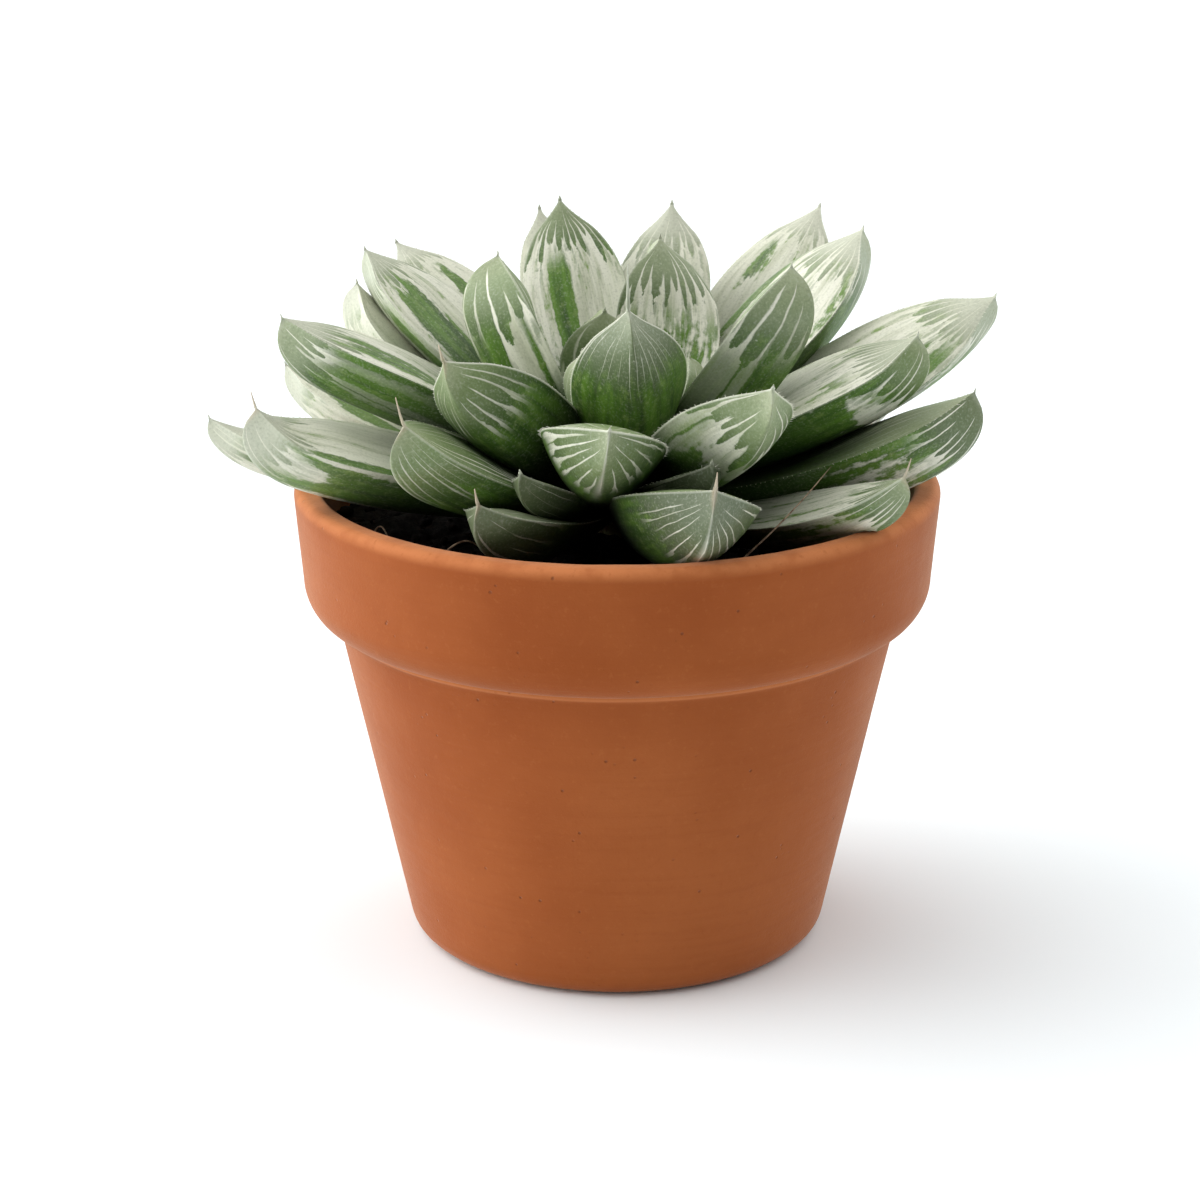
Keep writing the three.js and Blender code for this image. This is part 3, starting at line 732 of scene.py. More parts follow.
# %% Stripes of the leaves
STRIPES = {
    "heart_core": (8, side(0.5, 0.2, 0.7), side(0.5, 0.2, 0.8)),
    "heart_left": (8, side(0.3, 0.4, 0.9, 0.04), side(0.35, 0.2, 0.9)),
    "heart_bud": (8, side(0.5, 0.2, 0.9), side(0.5, 0.1, 1.0, 0.1)),
    "inner_left": (9, side(0.54, 0.4, 0.6), side(
        0.62, 0.42, 1.0, -0.08, (0.66, 0.58, 0.14, 0.36, -1.8, 0.6),
        (0.96, 0.45, 0.06, 0.45, -1.6, 0.5))),
    "heart_right": (9, side(0.54, 0.6, 0.5, 0.1), side(0.6, 0.8, 0.5, 0.1)),
    "heart_back": (9, side(0.64, 1.0, 0.45, 0.08, (0.1, 0.3, 1, 0.22, 0.35)), side(0.54, 0.7, 0.4)),
    "heart_front": (15, side(0.54, 0.3, 0.8), side(
        0.72, 0.0, 1.0, -0.42, (-0.05, 0.72, 0.14, 0.06, -0.8), (0.35, 0.73, 0.14, 0.07, -0.8),
        (-0.5, 0.73, 0.16, 0.07, -0.7), (-0.9, 0.6, 0.07, 0.3, -1.2),
        (0.85, 0.55, 0.06, 0.3, -1.0))),
    "inner_right": (9, side(0.54, 0.5, 0.5), side(
        0.7, 0.55, 1.0, 0.08, (-0.85, 0.58, 0.17, 0.3, -1.8), (-0.58, 0.58, 0.07, 0.24, -1.4))),
    "back_left": (10, side(
        0.78, 1.0, 0.08, 0.06, (0.27, 0.6, 0.17, 0.3, 1.6), (0.8, 0.35, 0.25, 0.2, 0.5)),
        side(0.66, 0.6, 0.5)),
    "back_right": (9, side(0.8, 1.0, 0.05, 0.45), side(0.7, 0.6, 0.4, 0.2)),
    "right_back_low": (10, side(0.8, 1.0, 0.05, 0.4, (0.93, 0.75, 0.1, 0.25, 1.2),
                                (-0.9, 0.72, 0.12, 0.15, 0.5)),
                       side(0.78, 0.5, 0.7, 0.12)),
    "left_back": (11, side(
        0.84, 0.95, 0.1, 0.32, (0.28, 0.6, 0.22, 0.24, 1.3), (0.62, 0.48, 0.2, 0.3, 1.2)),
        side(0.8, 0.6, 0.1, 0.3, (0.68, 0.66, 0.13, 0.18, 1.1))),
    "front_left": (12, side(0.6, 0.5, 0.5), side(
        0.7, 0.3, 1.0, -0.12, (-0.6, 0.8, 0.4, 0.1, -0.9), (0.94, 0.7, 0.08, 0.4, -1.6),
        (-0.95, 0.6, 0.06, 0.3, -0.8))),
    "right_back": (10, side(
        0.86, 1.0, 0.0, 0.6, (0.45, 0.77, 0.11, 0.1, 1.1), (-0.2, 0.6, 0.1, 0.24, 0.7)),
        side(0.8, 0.7, 0.1, 0.55)),
    "back_shaded": (8, side(0.8, 1.0, 0.0, 0.7), side(0.8, 0.8, 0.1, 0.6)),
    "left_back_low": (8, side(0.9, 1.0, 0.0, 0.8), side(0.9, 1.0, 0.05, 0.75)),
    "front_right": (11, side(0.54, 0.5, 0.4), side(
        0.74, 0.6, 0.95, 0.05, (-0.8, 0.74, 0.24, 0.22, -1.2), (0.3, 0.72, 0.7, 0.12, -1.2),
        (-0.96, 0.6, 0.06, 0.4, -1.2))),
    "left_back_shaded": (9, side(
        0.86, 0.9, 0.05, 0.5, (-0.42, 0.68, 0.14, 0.2, 1.1), (-0.1, 0.56, 0.14, 0.2, 0.8)),
        side(0.8, 0.8, 0.1, 0.5)),
    "left": (11, side(
        0.82, 0.95, 0.15, 0.36, (0.35, 0.66, 0.13, 0.26, 0.9), (0.62, 0.72, 0.12, 0.2, 0.9)), side(
        0.84, 0.5, 0.8, 0.1, (0.45, 0.7, 0.08, 0.26, -1.3), (0.8, 0.7, 0.06, 0.3, -1.2),
        (0.1, 0.6, 0.12, 0.34, 0.6))),
    "right_front": (11, side(0.76, 0.9, 0.12, 0.25, (-0.6, 0.8, 0.15, 0.12, 0.6)),
                    side(0.82, 0.8, 1.1, 0.0, (-0.1, 0.79, 0.8, 0.06, -1.0))),
    "right": (10, side(
        0.82, 1.0, 0.08, 0.4, (-0.72, 0.78, 0.16, 0.16, 1.0), (-0.3, 0.6, 0.12, 0.26, 0.8)),
        side(0.84, 0.7, 0.5, 0.2)),
    "front": (12, side(0.7, 0.6, 0.3), side(
        0.7, 0.36, 0.0, -0.2, (-0.85, 0.85, 0.15, 0.2, -0.8), (0.9, 0.8, 0.12, 0.2, -0.6),
        (0, 0.64, 0.9, 0.1, -0.3), (0, 0.2, 1, 0.34, 0.8))),
    "front_left_low": (15, side(0.5, 0.5, 0.5), side(
        0.72, 0.18, 0.4, -0.1, (0.5, 0.3, 0.4, 0.3, 0.3))),
    "front_right_small": (7, side(0.3, 0.2, 0.8, -0.6), side(0.3, 0.2, 0.9, -0.7)),
    "right_low": (12, side(0.45, 0.3, 0.45, 0.1), side(
        0.8, 0.75, 0.75, -0.35, (-0.4, 0.62, 0.4, 0.2, -0.35))),
    "front_left_small": (8, side(0.35, 0.15, 0.9), side(0.52, 0.3, 0.9, -0.45)),
    "front_right_low": (14, side(0.54, 0.5, 0.4), side(
        0.72, 0.3, 0.15, -0.6, (0, 0.25, 1, 0.26, 0.7), (0.1, 0.66, 0.8, 0.1, -0.3))),
    "left_low": (11, side(0.86, 0.9, 0.1, 0.5, (0.92, 0.7, 0.14, 0.16, 1.0)),
                 side(0.86, 0.7, 1.0, 0.4, (0.6, 0.86, 0.2, 0.08, -1.0), (0.1, 0.7, 0.1, 0.2, -0.9),
                      (0.97, 0.6, 0.05, 0.4, -1.2))),
    "left_shaded": (8, side(0.9, 1.0, 0.05, 0.75, (0.75, 0.66, 0.17, 0.14, 1.0)),
                    side(0.85, 0.9, 0.1, 0.6)),
    "right_front_low": (11, side(0.84, 0.9, 0.2, 0.1), side(
        0.84, 0.6, 0.5, 0.05, (-0.95, 0.6, 0.06, 0.4, -0.8), (0.1, 0.8, 0.8, 0.08, -0.5))),
    "front_lowest": (8, side(0.4, 0.15, 0.5, 0.1), side(0.56, 0.34, 0.7, -0.42)),
    "left_lowest": (9, side(0.8, 0.9, 0.1, 0.5), side(
        0.85, 0.7, 0.35, 0.5, (0.5, 0.85, 0.1, 0.12, 0.8))),
}
print("leaves striped by hand:", len(STRIPES))

# %% [markdown]
# A stroke is a soft oval. It covers the leaf with green or, with a minus, uncovers the cream.

# %% Paint the strokes
STROKE_EDGE = (-0.45, 0.5)  # fades from this far outside the oval's rim to this far inside


def painted(stripe, x, s):
    """Way down the windows, drip and green at places across x and along s. The way down is 0
    at the tip and 1 where the windows end."""
    window = (1 - s) / (1 - stripe["window"])
    green = np.full(np.broadcast(x, s).shape, float(stripe["green"]))
    drip = np.full_like(green, stripe["drip"])
    for cx, cs, rx, rs, strength, *milk in stripe["strokes"]:
        touch = smooth(*STROKE_EDGE, 1 - np.hypot((x - cx) / rx, (s - cs) / rs))
        green += strength * touch
        drip += sum(milk) * touch
    return window, np.clip(drip, 0, 1), np.clip(green, -0.5, 1.5)


print("green low on the hull of the front leaf:", painted(STRIPES["front"][2], 0, 0.2)[2].round(2))

# %% [markdown]
# ## Leaf finish
# The pattern is drawn by the shader, in coordinates that run along and across each leaf, so the
# veins meet at the tip as they do in the plant. Four sets of three numbers come with every corner
# of a leaf's faces: flow says where it lies on the leaf, paint and tint how it is striped and
# washed out, and trim how near it is to the margin, the keel, the bristle and the root. A few
# noises, stretched along the leaf, bend and blot what is drawn with them.

# %% Places and noises of the leaf finish
leaf_skin = Finish("leaf_skin")
k = leaf_skin
fan, run, seed = k.parts(k.node("Attribute", {}, 1, attribute_name="flow"))
down, drip, green = k.parts(k.node("Attribute", {}, 1, attribute_name="paint"))
fade, margin, awn_tan = k.parts(k.node("Attribute", {}, 1, attribute_name="tint"))
edge, keel, ends = k.parts(k.node("Attribute", {}, 1, attribute_name="trim"))
awn = k.math("MAXIMUM", ends, 0.0)
root = k.ramp(ends, -0.03, -0.76)


def stretched(across, along, shift=0.0):
    """A place for a noise that is stretched along the leaf."""
    return k.vector(k.times(fan, across), k.times(run, along), k.plus(seed, shift))


wobble = k.minus(k.noise(stretched(0.45, 0.06), detail=2), 0.5)
shiver = k.minus(k.noise(stretched(1.3, 0.3, 2), detail=3), 0.5)
bent_fan = k.plus(k.plus(fan, wobble), k.times(shiver, 0.3))
bent_fan = k.plus(bent_fan, k.times(seed, 13.7))  # a comb of its own for each leaf
streak = k.noise(stretched(1.1, 0.045, 3), detail=4, roughness=0.6)
fine = k.noise(stretched(4.5, 0.12, 5), detail=3)
mottle = k.noise(stretched(1.5, 0.5, 9), detail=4, roughness=0.62)
blot = k.minus(mottle, 0.5)
grain = k.noise(k.place(), 2400, 3, 0.6)
print("nodes for places and noises:", len(k.tree.nodes))

# %% [markdown]
# ### Veins and drips
# A Voronoi texture in one dimension cuts the width of a leaf into islands of glass, and the veins
# are the borders between them. Each island also gets lots, numbers of its own: whether a vein
# shows, how thick it is, and how soon the milk closes over the island. Drawing each vein as a
# curve would give more control, but the texture needs no list of hundreds of veins. The way down
# the window is 0 at the tip. A vein begins a little below it, and a band round it widens with the
# quarter of a circle, so that the glass between two drips ends in a round tongue.

# %% Veins and drips
ISLANDS = {"W": bent_fan, "Scale": 1.0, "Randomness": 0.8}
from_vein = k.node("TexVoronoi", ISLANDS, voronoi_dimensions="1D", feature="DISTANCE_TO_EDGE")
from_vein = k.plus(from_vein, k.times(blot, 0.12))
lots = k.node("TexVoronoi", ISLANDS, 1, voronoi_dimensions="1D", feature="F1")
lot_1, lot_2, lot_3 = k.parts(lots)

comb = k.noise(stretched(1.4, 0.0, 7), detail=1)
start = k.ramp(comb, 0.38, 0.66, 0.05, 0.62)
start = k.times(start, k.ramp(drip, 0.25, 0.6, 0.5, 1.0))
begun = k.ramp(k.minus(down, start), 0.0, 0.12)
kept = k.math("MAXIMUM", k.ramp(lot_1, 0.26, 0.32), k.ramp(drip, 0.2, 0.4))
begun = k.times(begun, kept)

ragged = k.weighted((blot, 0.5), (k.minus(streak, 0.5), 0.5))
closing = k.minus(down, k.plus(0.3, k.times(lot_2, 0.5)))
closing = k.times(k.plus(closing, ragged), 1 / 0.42, clamp=True)
closing = k.math("SQRT", k.minus(1.0, k.times(closing, closing)))
closing = k.minus(1.0, closing)

thin = k.plus(0.05, k.times(lot_3, 0.05))
wide = k.plus(k.times(thin, begun), k.times(k.times(closing, drip), 0.8))
soft = k.plus(0.05, k.times(fade, 0.08))
pale = k.ramp(k.minus(from_vein, wide), soft, k.times(soft, -1.0))
pale = k.times(pale, k.math("MAXIMUM", begun, closing))
print("nodes with the veins:", len(k.tree.nodes))

# %% [markdown]
# Where there is little milk, a vein fades out again before it reaches the body of the leaf. Where
# there is much, green islands stay behind in it: a second Voronoi texture, in two dimensions and
# stretched along the leaf, picks some of its cells for them.

# %% Fading veins and green islands
ended = k.ramp(k.minus(down, k.times(lot_3, 0.55)), 0.3, 0.75)
ended = k.times(ended, k.ramp(drip, 0.8, 0.35))
pale = k.times(pale, k.minus(1.0, ended))
pale = k.times(pale, k.ramp(drip, 0.0, 0.6, 0.55, 1.0))

isle_place = k.vector(k.times(bent_fan, 2.1), k.times(run, 0.2), seed)
isle = k.add("TexVoronoi", {"Vector": isle_place, "Scale": 1.0, "Randomness": 1.0},
             voronoi_dimensions="2D", feature="F1")
isle_pick = k.ramp(k.parts(isle.outputs[1])[0], 0.45, 0.6)
isle = k.times(k.ramp(k.plus(isle.outputs[0], k.times(blot, 1.4)), 0.5, 0.2), isle_pick)
isle = k.times(isle, k.times(k.ramp(down, 0.6, 0.9), k.ramp(down, 1.7, 1.1)))
isle = k.times(isle, k.ramp(drip, 0.4, 0.95, 0.0, 0.55))
pale = k.times(pale, k.minus(0.94, isle), clamp=True)
print("nodes with the islands:", len(k.tree.nodes))

# %% [markdown]
# ### Colours of a leaf
# Three colours are mixed from the noises: glass that deepens down the window, green in streaks,
# and cream with a greenish grain. Below the windows green takes the place of glass, and the veins
# lay cream on both. Then green covers the body where the stripes say so, a washed-out leaf is
# paled all over, and what lies deep between the leaves is darkened, because almost no light gets
# down there.

# %% Colours of a leaf
GLASS_PALE, GLASS_DARK = tone(189, 192, 174), tone(84, 95, 69)
GLASS_TIP, GLASS, GLASS_DEEP = tone(150, 161, 122), tone(112, 131, 82), tone(68, 94, 38)
GREEN, GREEN_DEEP, GREEN_SOFT = tone(90, 130, 36), tone(44, 78, 10), tone(154, 174, 104)
SHADE = tone(13, 26, 3)
CREAM, CREAM_DIM = tone(233, 232, 217), tone(190, 192, 170)

washed = k.times(k.times(fade, 2.2), k.ramp(down, 1.0, 0.3, 0.35, 1.0), clamp=True)
glass = k.coats(
    GLASS,
    (k.ramp(down, 0.25, 0.9), GLASS_DEEP),
    (k.ramp(down, 0.3, 0.0), GLASS_TIP),
    (k.ramp(mottle, 0.5, 0.75, 0.0, 0.35), GLASS_TIP),
    (washed, GLASS_PALE),
    (k.times(fade, -1.5, clamp=True), GLASS_DARK))
leafy = k.coats(
    GREEN_DEEP,
    (k.ramp(streak, 0.3, 0.68), GREEN),
    (k.ramp(mottle, 0.48, 0.8, 0.0, 0.5), GREEN_SOFT))
milky = k.coats(
    CREAM,
    (k.ramp(streak, 0.42, 0.7), CREAM_DIM),
    (k.ramp(fine, 0.5, 0.8, 0.0, 0.35), GREEN_SOFT))

cover = k.plus(k.plus(green, k.times(k.minus(streak, 0.5), 2.0)), k.times(blot, 1.5))
cover_from = k.plus(down, k.times(k.minus(lot_2, 0.5), 0.3))
cover = k.times(k.ramp(cover, 0.28, 0.7), k.ramp(cover_from, 0.6, 1.15))
paled = k.times(fade, k.minus(0.7, k.times(cover, 0.55)), clamp=True)
skin = k.coats(
    glass,
    (k.ramp(k.plus(down, k.times(blot, 1.2)), 0.5, 1.3), leafy),
    (pale, milky),
    (cover, leafy),
    (paled, CREAM_DIM),
    (k.times(root, 0.96), k.mix(pale, SHADE, GREEN_DEEP)))
print("nodes with the colours:", len(k.tree.nodes))

# %% [markdown]
# ### The last touches
# Small white flecks sit in the windows, and a fine grain lies over everything. The margin and the
# keel are drawn as thin pale lines, and the bristle is pale, or tan on the leaves whose bristle
# has dried. The relief is low: shallow ridges along the leaf, and veins that stand out a little.

# %% Flecks, grain, margin, keel and bristle
fleck = k.add("TexVoronoi", {"Vector": stretched(0.8, 0.5), "Scale": 1.3, "Randomness": 1.0})
fleck_pick = k.ramp(k.parts(fleck.outputs[1])[0], 0.75, 0.8, 0.0, 0.4)
fleck = k.times(k.ramp(fleck.outputs[0], 0.11, 0.05), fleck_pick)
GRAIN_PALE, GRAIN_DARK = tone(232, 232, 222), tone(40, 52, 28)
MARGIN_PALE, KEEL_PALE, AWN_TAN = tone(214, 216, 198), tone(206, 206, 188), tone(200, 176, 152)
skin = k.coats(
    skin,
    (k.times(fleck, k.ramp(down, 1.0, 0.7)), CREAM),
    (k.ramp(grain, 0.5, 0.72, 0.0, 0.14), GRAIN_PALE),
    (k.ramp(grain, 0.5, 0.28, 0.0, 0.2), GRAIN_DARK),
    (k.ramp(edge, 0.42, 0.1, 0.0, margin), MARGIN_PALE),
    (k.times(keel, 0.8), KEEL_PALE),
    (k.times(awn, 0.85), k.mix(awn_tan, GLASS_PALE, AWN_TAN)))
ridges = k.noise(stretched(3.2, 0.05, 21), detail=4, roughness=0.6)
relief = k.weighted((ridges, 0.8), (pale, 0.25), (grain, 0.25))
k.set(k.shader, {
    "Base Color": skin,
    "Roughness": k.ramp(down, 0.1, 0.8, 0.4, 0.52),
    "Normal": k.bump(relief, 0.00015, 0.5),
    "Specular IOR Level": 0.42,
})
print("leaf nodes:", len(k.tree.nodes))

# %% [markdown]
# ## Growing a leaf
# Now the parts come together: rings, bristle, and the tiny teeth that line the margins of the
# real leaves. Each tooth is a three-sided splinter, on most leaves shorter than a third of a
# millimetre and on the fringed ones in front up to a whole one. They are strewn along the two
# edges of the deck by dice with a fixed seed, so that every run grows the same plant. A tooth
# lies across the margin, leans towards the tip, and is longer near the tip.

# %% Margin teeth
TEETH_FROM, TEETH_TO = 0.3, 0.97
TOOTH_HALF, TOOTH_THICK, TOOTH_SUNK = 0.1, 0.07, 0.06


def teeth(rings, dice, size):
    """Splinters along both margins: points and faces."""
    across = unit(rings[:, DECK_POINTS - 1] - rings[:, 0])
    points, faces = [], []
    for j, sign in ((0, -1), (DECK_POINTS - 1, 1)):
        line = rings[:, j]
        steps = np.linalg.norm(np.diff(line, axis=0), axis=1)
        length = np.concatenate([[0], np.cumsum(steps)])
        at = length[-1] * TEETH_FROM
        while at < length[-1] * TEETH_TO:
            i = min(int(np.searchsorted(length, at)) - 1, len(line) - 2)
            t = (at - length[i]) / max(steps[i], SMALLEST)
            c = line[i] * (1 - t) + line[i + 1] * t
            ahead = (line[i + 1] - line[i]) / max(steps[i], SMALLEST)
            outward = across[i] * sign
            outward = unit(outward - ahead * np.dot(outward, ahead))
            up = np.cross(ahead, outward)
            longer = 1 + 0.6 * float(smooth(0.55, 0.85, at / length[-1]))
            reach = size * dice.uniform(0.6, 1.3) * longer
            point = c + outward * reach + ahead * reach * dice.uniform(0.1, 0.8)
            point = point + up * reach * dice.uniform(-0.4, 0.4)
            front = c + ahead * TOOTH_HALF
            foot = [c - ahead * TOOTH_HALF, front + up * TOOTH_THICK, front - up * TOOTH_THICK]
            first = len(points)
            points += [p - outward * TOOTH_SUNK for p in foot] + [point]
            faces += [(first, first + 1, first + 3), (first + 1, first + 2, first + 3),
                      (first + 2, first, first + 3), (first, first + 2, first + 1)]
            at += dice.uniform(0.7, 1.5)
    return points, faces


print("share of each margin with teeth:", round(TEETH_TO - TEETH_FROM, 2))

# %% [markdown]
# The rings become one closed skin, with a fan of triangles over each end. Deck and hull meet at
# the margin in shared points, but their stripes differ there. So nothing is stored on the points:
# the numbers sit on the corners of the faces, where each side can have its own.

# %% Closed skin of a leaf
def leaf_mesh(rows):
    """Points and faces of the skin, and for each corner its ring point and whether it is hull."""
    faces = ring_faces(len(rows), RING, closed=False)
    corners = np.array(faces).ravel()
    low = np.repeat(corners[::4] % RING >= DECK_POINTS - 1, 4)
    centre, last = len(rows) * RING, (len(rows) - 1) * RING
    end_corners = []
    for j in range(RING):
        n = (j + 1) % RING
        faces += [(n, j, centre), (last + j, last + n, centre + 1)]
        end_corners += [n, j, j, last + j, last + j, last + j]
    points = np.concatenate([rows.reshape(-1, 3), rows[0].mean(0)[None], rows[-1].mean(0)[None]])
    corners = np.concatenate([corners, end_corners])
    return points, faces, corners, np.concatenate([low, np.zeros(len(end_corners), bool)])


def hull_shares(rings):
    """Place of each hull point along the hull's own arc, from 1 to -1, and the arc's length."""
    loop = np.concatenate([rings[:, DECK_POINTS - 1:], rings[:, :1]], 1)
    steps = np.linalg.norm(np.diff(loop, axis=1), axis=2)
    arcs = np.concatenate([np.zeros((len(rings), 1)), np.cumsum(steps, 1)], 1)
    total = arcs[:, -1:]
    return 1 - 2 * arcs / np.maximum(total, SMALLEST), total[:, 0]


print("corners round a leaf:", RING * 4 * (LEAF_RINGS + AWN_RINGS - 1))

# %% [markdown]
# Now the numbers themselves. A corner on the deck takes the deck's stripes, one on the hull the
# hull's. Across the hull its place is measured along the curved skin, so that the stripes keep
# their width where the skin turns down to the keel. The hull is also darkened more than the deck,
# because it faces down between the leaves.

# %% What the finish reads at each corner
KEEL_LINES = {"front": 0.75, "front_right_low": 0.7, "front_left_low": 0.5, "front_lowest": 0.45}
MARGIN = {"right_low": 0.0, "left_low": 0.1, "left": 0.1, "right": 0.1, "heart_front": 0.75,
          "front": 0.8, "front_left": 0.8, "front_right": 0.8, "right_front_low": 0.6}
MARGIN_USUAL = 0.35
KEEL_LINE, KEEL_FROM = (0.08, 0.32), (0.5, 0.85)  # mm beside the keel, share of the length
SEED_STEP, SEED_HULL = 1.618, 40.0
TAN_FROM, TAN_TO = 2, 5  # mm; a bristle of a length between them is tan


def corner_values(name, index, rows, trail, corners, low, stripes):
    """The four sets of numbers. trail: for each ring its place along the leaf, its half-width
    and how far it is into the bristle."""
    leaf, (veins, deck, hull) = LEAVES[name], stripes
    ring, point = np.divmod(corners, RING)
    s, deck_half, awn = (values[ring] for values in trail)
    arc_share, arc_total = hull_shares(rows)
    deck_x = np.concatenate([DECK_X, np.zeros(HULL_POINTS)])[point]
    on_arc = np.clip(point - DECK_POINTS + 1, 0, HULL_POINTS + 1)
    hull_x = arc_share[ring, np.where(point == 0, HULL_POINTS + 1, on_arc)]
    x = np.where(low, hull_x, deck_x)
    half = np.where(low, arc_total[ring] / 2, deck_half)
    sides = [painted(stripe, x, s) for stripe in (deck, hull)]
    window, drip, green = (np.where(low, b, a) for a, b in zip(*sides))
    fade = np.where(low, hull["fade"], deck["fade"])
    seed = index * SEED_STEP + np.where(low, SEED_HULL, 0.0)
    keel_line = 1 - smooth(*KEEL_LINE, np.abs(hull_x) * half)
    keel = np.where(low, KEEL_LINES.get(name, 0) * keel_line, 0) * smooth(*KEEL_FROM, s)
    lit_from = 0.88 - 0.3 * float(smooth(30, 60, leaf["lift"]))
    ends = awn - (1 - smooth(0.2, lit_from, s)) * np.where(low, 1.0, 0.5)
    return {
        "flow": (x * veins / 2, s * leaf["length"], seed),
        "paint": (window, drip, green),
        "trim": ((1 - np.abs(x)) * half, keel, ends),
        "tint": (fade, MARGIN.get(name, MARGIN_USUAL), float(TAN_FROM < leaf["awn"] < TAN_TO)),
    }


print("keels drawn on:", ", ".join(KEEL_LINES))

# %% [markdown]
# With all of that, a leaf grows in a few lines. It is moved to the pot's axis and kept inside the
# measured box, and its numbers are stored in four attributes, which the finish reads by name.

# %% Grow the leaves
TOOTH = {"front": 0.55, "front_right": 0.4, "front_right_small": 0.5, "right_low": 0.36,
         "front_right_low": 0.26, "front_lowest": 0.22}
TOOTH_USUAL = 0.16  # mm
VEIN_COUNTS = (9, 10, 11, 12)
BRISTLE_FROM = 0.985
BOX_LOW, BOX_HIGH = (np.array(corner) / MM for corner in CAD_BOX)


def grow(name, index):
    leaf = LEAVES[name]
    dice = random.Random(100 + index)
    rings, s, halves, tip = leaf_rings(leaf, dice)
    stripes = STRIPES.get(name, (dice.choice(VEIN_COUNTS), DECK_USUAL, HULL_USUAL))
    rings = lift_onto_bed(rings)
    rows = np.concatenate([rings, awn_rings(leaf, tip)])
    trail = (np.concatenate([s, np.ones(AWN_RINGS)]),
             np.concatenate([halves, np.full(AWN_RINGS, TIP_R)]),
             np.concatenate([smooth(BRISTLE_FROM, 1, s) / 2, np.linspace(0.5, 1, AWN_RINGS)]))
    points, faces, corners, low = leaf_mesh(rows)
    values = corner_values(name, index, rows, trail, corners, low, stripes)
    tooth_points, tooth_faces = teeth(rings, dice, TOOTH.get(name, TOOTH_USUAL))
    faces += shifted(tooth_faces, len(points))
    points = np.concatenate([points, np.array(tooth_points)]) + np.array([POT_AXIS_X, 0, 0])
    points = np.clip(points, BOX_LOW, BOX_HIGH)
    piece = make_piece(f"skin_{name}", points, faces, leaf_skin.block, "leaf", f"leaf_{name}")
    of_teeth = {"flow": (0, 10, index), "paint": (2, 1, 0), "trim": (0, 0, 0), "tint": (0, 0, 0)}
    for title, of_skin in values.items():
        data = np.concatenate([np.stack(np.broadcast_arrays(*of_skin), 1),
                               np.tile(of_teeth[title], (len(tooth_faces) * 3, 1))])
        attribute = piece.data.attributes.new(title, "FLOAT_VECTOR", "CORNER")
        attribute.data.foreach_set("vector", np.ascontiguousarray(data, np.float32).ravel())
    return piece


leaf_pieces = [grow(name, index) for index, name in enumerate(LEAVES)]
print("leaves grown:", len(leaf_pieces), "faces:", sum(len(p.data.polygons) for p in leaf_pieces))

# %% [markdown]
# ## Stem
# The short stem shows only as a shadow between the leaf bases. Its measured shape is right, so it
# stays and only gets a finish: fresh green at the growing tip, drying to brown lower down.

# %% Stem finish
stalk = Finish("stalk")
place = stalk.place()
bark = stalk.noise(place, 420, 4, 0.6)
height = stalk.parts(place)[2]
old_skin = stalk.mix(stalk.ramp(bark, 0.35, 0.7), tone(128, 132, 84), tone(104, 82, 56))
young_skin = stalk.mix(stalk.ramp(bark, 0.35, 0.7), tone(104, 128, 66), tone(132, 150, 96))
stalk.set(stalk.shader, {
    "Base Color": stalk.mix(stalk.ramp(height, 0.076, 0.083), old_skin, young_skin),
    "Roughness": stalk.ramp(bark, 0.2, 0.8, 0.6, 0.8),
    "Normal": stalk.bump(bark, 0.0003, 0.7),
})
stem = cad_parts["stem"]
stem.data.materials.clear()
stem.data.materials.append(stalk.block)
print("stem keeps its own mesh:", len(stem.data.polygons), "faces")

# %% [markdown]
# ## Stray roots
# A few dry root fibres have come up out of the soil and arch over it, and one brown thread leans
# against a leaf on the right. Each is a thin tube along a smooth curve that comes out of the
# soil, and most of them dip back into it. A curve object with a round bevel would do it in fewer
# lines, but here the tube is a mesh like every other piece, and it tapers.

# %% Fibre finish
fibre = Finish("dry_fibre")
place = fibre.place()
husk = fibre.noise(place, 900, 3, 0.6)
fibre.set(fibre.shader, {
    "Base Color": fibre.mix(fibre.ramp(husk, 0.35, 0.65), tone(150, 128, 104), tone(88, 62, 44)),
    "Roughness": fibre.ramp(husk, 0.2, 0.8, 0.6, 0.8),
    "Normal": fibre.bump(husk, 0.0001, 0.6),
})
print("fibre nodes:", len(fibre.tree.nodes))

# %% A tube along a curve
NO_FIBRES_WAY = (0.13, 0.21, 0.97)  # a direction that no fibre takes


def tube(knots, radius, sides=7, steps=26):
    """A tapering tube along a smooth curve through the knots."""
    knots = np.array(knots, float)
    padded = np.concatenate([2 * knots[:1] - knots[1:2], knots, 2 * knots[-1:] - knots[-2:-1]])
    line = []
    for i in range(len(knots) - 1):
        p0, p1, p2, p3 = padded[i:i + 4]
        for t in np.linspace(0, 1, steps, endpoint=i == len(knots) - 2):
            line.append(0.5 * (2 * p1 + (p2 - p0) * t + (2 * p0 - 5 * p1 + 4 * p2 - p3) * t ** 2
                               + (3 * p1 - p0 - 3 * p2 + p3) * t ** 3))
    line = np.array(line)
    ahead = unit(np.gradient(line, axis=0))
    flat = unit(np.cross(ahead, NO_FIBRES_WAY))
    up = np.cross(ahead, flat)
    points = []
    for i, c in enumerate(line):
        share = i / (len(line) - 1)
        r = radius * (1 - 0.6 * share) * (0.35 + 0.65 * min(1, 12 * (1 - share)))
        for q in np.linspace(0, 2 * math.pi, sides, endpoint=False):
            points.append(c + flat[i] * r * math.cos(q) + up[i] * r * math.sin(q))
    faces = ring_faces(len(line), sides, closed=False)
    faces.append(tuple(reversed(range(sides))))
    faces.append(tuple(range((len(line) - 1) * sides, len(line) * sides)))
    return points, faces


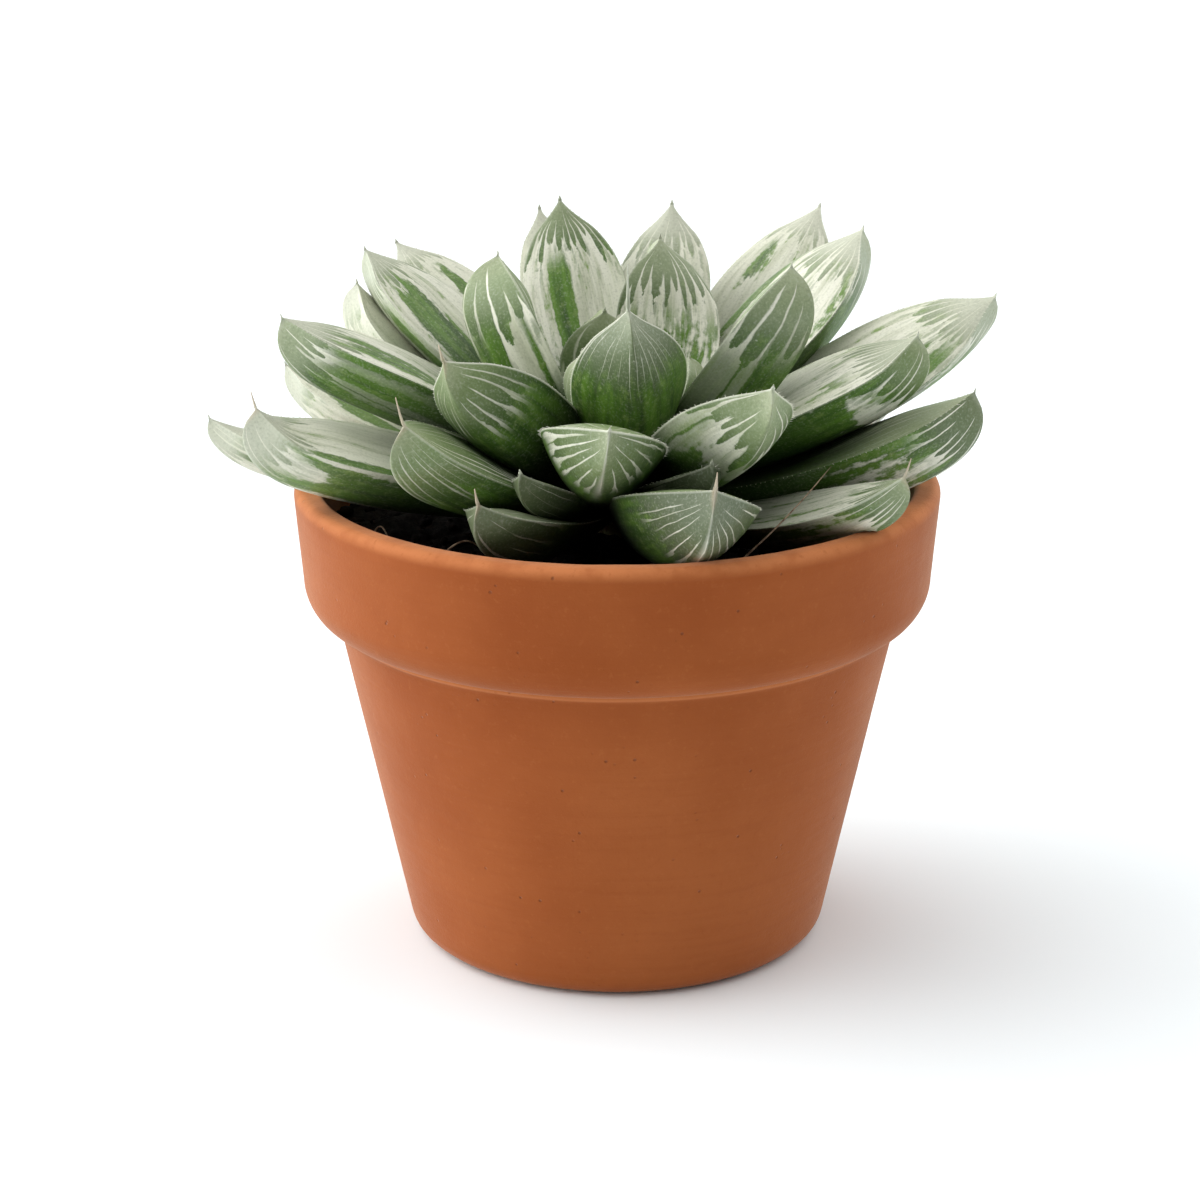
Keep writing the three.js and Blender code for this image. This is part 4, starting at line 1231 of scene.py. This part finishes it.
print("points in a short tube:", len(tube([(0, 0, 0), (0, 9, 0)], 0.2)[0]))

# %% Root fibres
FIBRES = [  # radius and knots, in mm from the pot's axis
    (0.22, [(-42, -17, 70), (-40, -21, 74.5), (-37.5, -24.5, 77.5), (-34.5, -27, 70)]),
    (0.22, [(-29, -31, 70), (-28, -31, 74.5), (-24, -30, 77), (-20, -29, 74), (-17, -30, 70)]),
    (0.16, [(-33, -22, 70), (-31, -25, 74), (-26, -28, 72.5), (-22, -33, 70)]),
    (0.15, [(-24, -36, 70), (-20, -34, 73), (-16, -35, 70)]),
    (0.18, [(-12, -38, 70), (-9, -37, 72.5), (-5, -39, 70)]),
    (0.16, [(2, -40, 70), (5, -38, 73), (10, -40, 70)]),
    (0.2, [(16, -40, 70.5), (18.5, -40.5, 76), (24, -38.5, 81), (29, -35.5, 85.5),
           (33.5, -32.5, 90)]),
]
fibre_points, fibre_faces = [], []
for radius, knots in FIBRES:
    points, faces = tube(knots, radius)
    fibre_faces += shifted(faces, len(fibre_points))
    fibre_points += [point + np.array([POT_AXIS_X, 0, 0]) for point in points]
root_fibres = make_piece("root_fibres", fibre_points, fibre_faces, fibre.block, "stem")
print("fibres:", len(FIBRES), "with", len(root_fibres.data.polygons), "faces")

# %% [markdown]
# ## Floor and light
# The picture is high-key: a white sweep and light from all round. The left side of the pot is
# brightest, the front is dimmer, and a little light comes back at the right edge. The world is
# dark but for three soft glows, a strong one at the left, a weaker one at the right and a faint
# one overhead, and a lamp in each of those places gives the shadows a direction.

# %% Floor
FLOOR_HALF = 6.0
FLOOR_SIDES = (-1, -1), (1, -1), (1, 1), (-1, 1)
floor_corners = [(x * FLOOR_HALF, y * FLOOR_HALF, 0) for x, y in FLOOR_SIDES]
floor_mesh = bpy.data.meshes.new("floor")
floor_mesh.from_pydata(floor_corners, [], [(0, 1, 2, 3)])
floor = put("floor", floor_mesh)
paper = Finish("paper")
paper_grain = paper.noise(paper.place(), 8, 2)
paper_colours = tone(240, 247, 249), tone(243, 249, 251)
paper.set(paper.shader, {
    "Base Color": paper.mix(paper.ramp(paper_grain, 0.3, 0.7), *paper_colours),
    "Roughness": 0.9,
    "Specular IOR Level": 0.1,
})
floor_mesh.materials.append(paper.block)
print("floor laid")

# %% World light
bpy.context.scene.view_settings.view_transform = "Standard"
studio = Finish("studio", bpy.data.worlds, "Background")
way_out = studio.node("TexCoord", {})


def glow(direction, low, high, strength):
    """Light from around one direction: full at a cosine of high, none at low."""
    facing = studio.node("VectorMath", {0: way_out, 1: direction}, 1, operation="DOT_PRODUCT")
    return studio.ramp(facing, low, high, 0.0, strength)


light = 0.06
for one_glow in (glow((-0.97, 0.25, 0.0), 0.2, 0.98, 3.6),
                 glow((0.9, 0.44, 0.0), 0.25, 0.98, 1.5),
                 glow((0.0, 0.0, 1.0), 0.35, 0.95, 0.8)):
    light = studio.plus(light, one_glow)
studio.set(studio.shader, {"Color": (1, 1, 1), "Strength": light})
bpy.context.scene.world = studio.block
print("nodes of the world light:", len(studio.tree.nodes))

# %% Lamps
PLANT_MIDDLE = Vector((0.0, 0.0, 0.06))


def panel(name, place, size, power):
    """A rectangular lamp that faces the middle of the plant."""
    data = bpy.data.lights.new(name, "AREA")
    data.shape = "RECTANGLE"
    data.size, data.size_y = size
    data.energy = power
    face_to(put(name, data), Vector(place), PLANT_MIDDLE)


panel("left_panel", (-1.3, 0.1, 0.75), (1.0, 1.0), 3)
panel("right_panel", (1.2, 0.7, 0.6), (0.8, 0.8), 1.5)
panel("top_panel", (-0.2, -0.2, 1.6), (1.4, 1.4), 2.5)
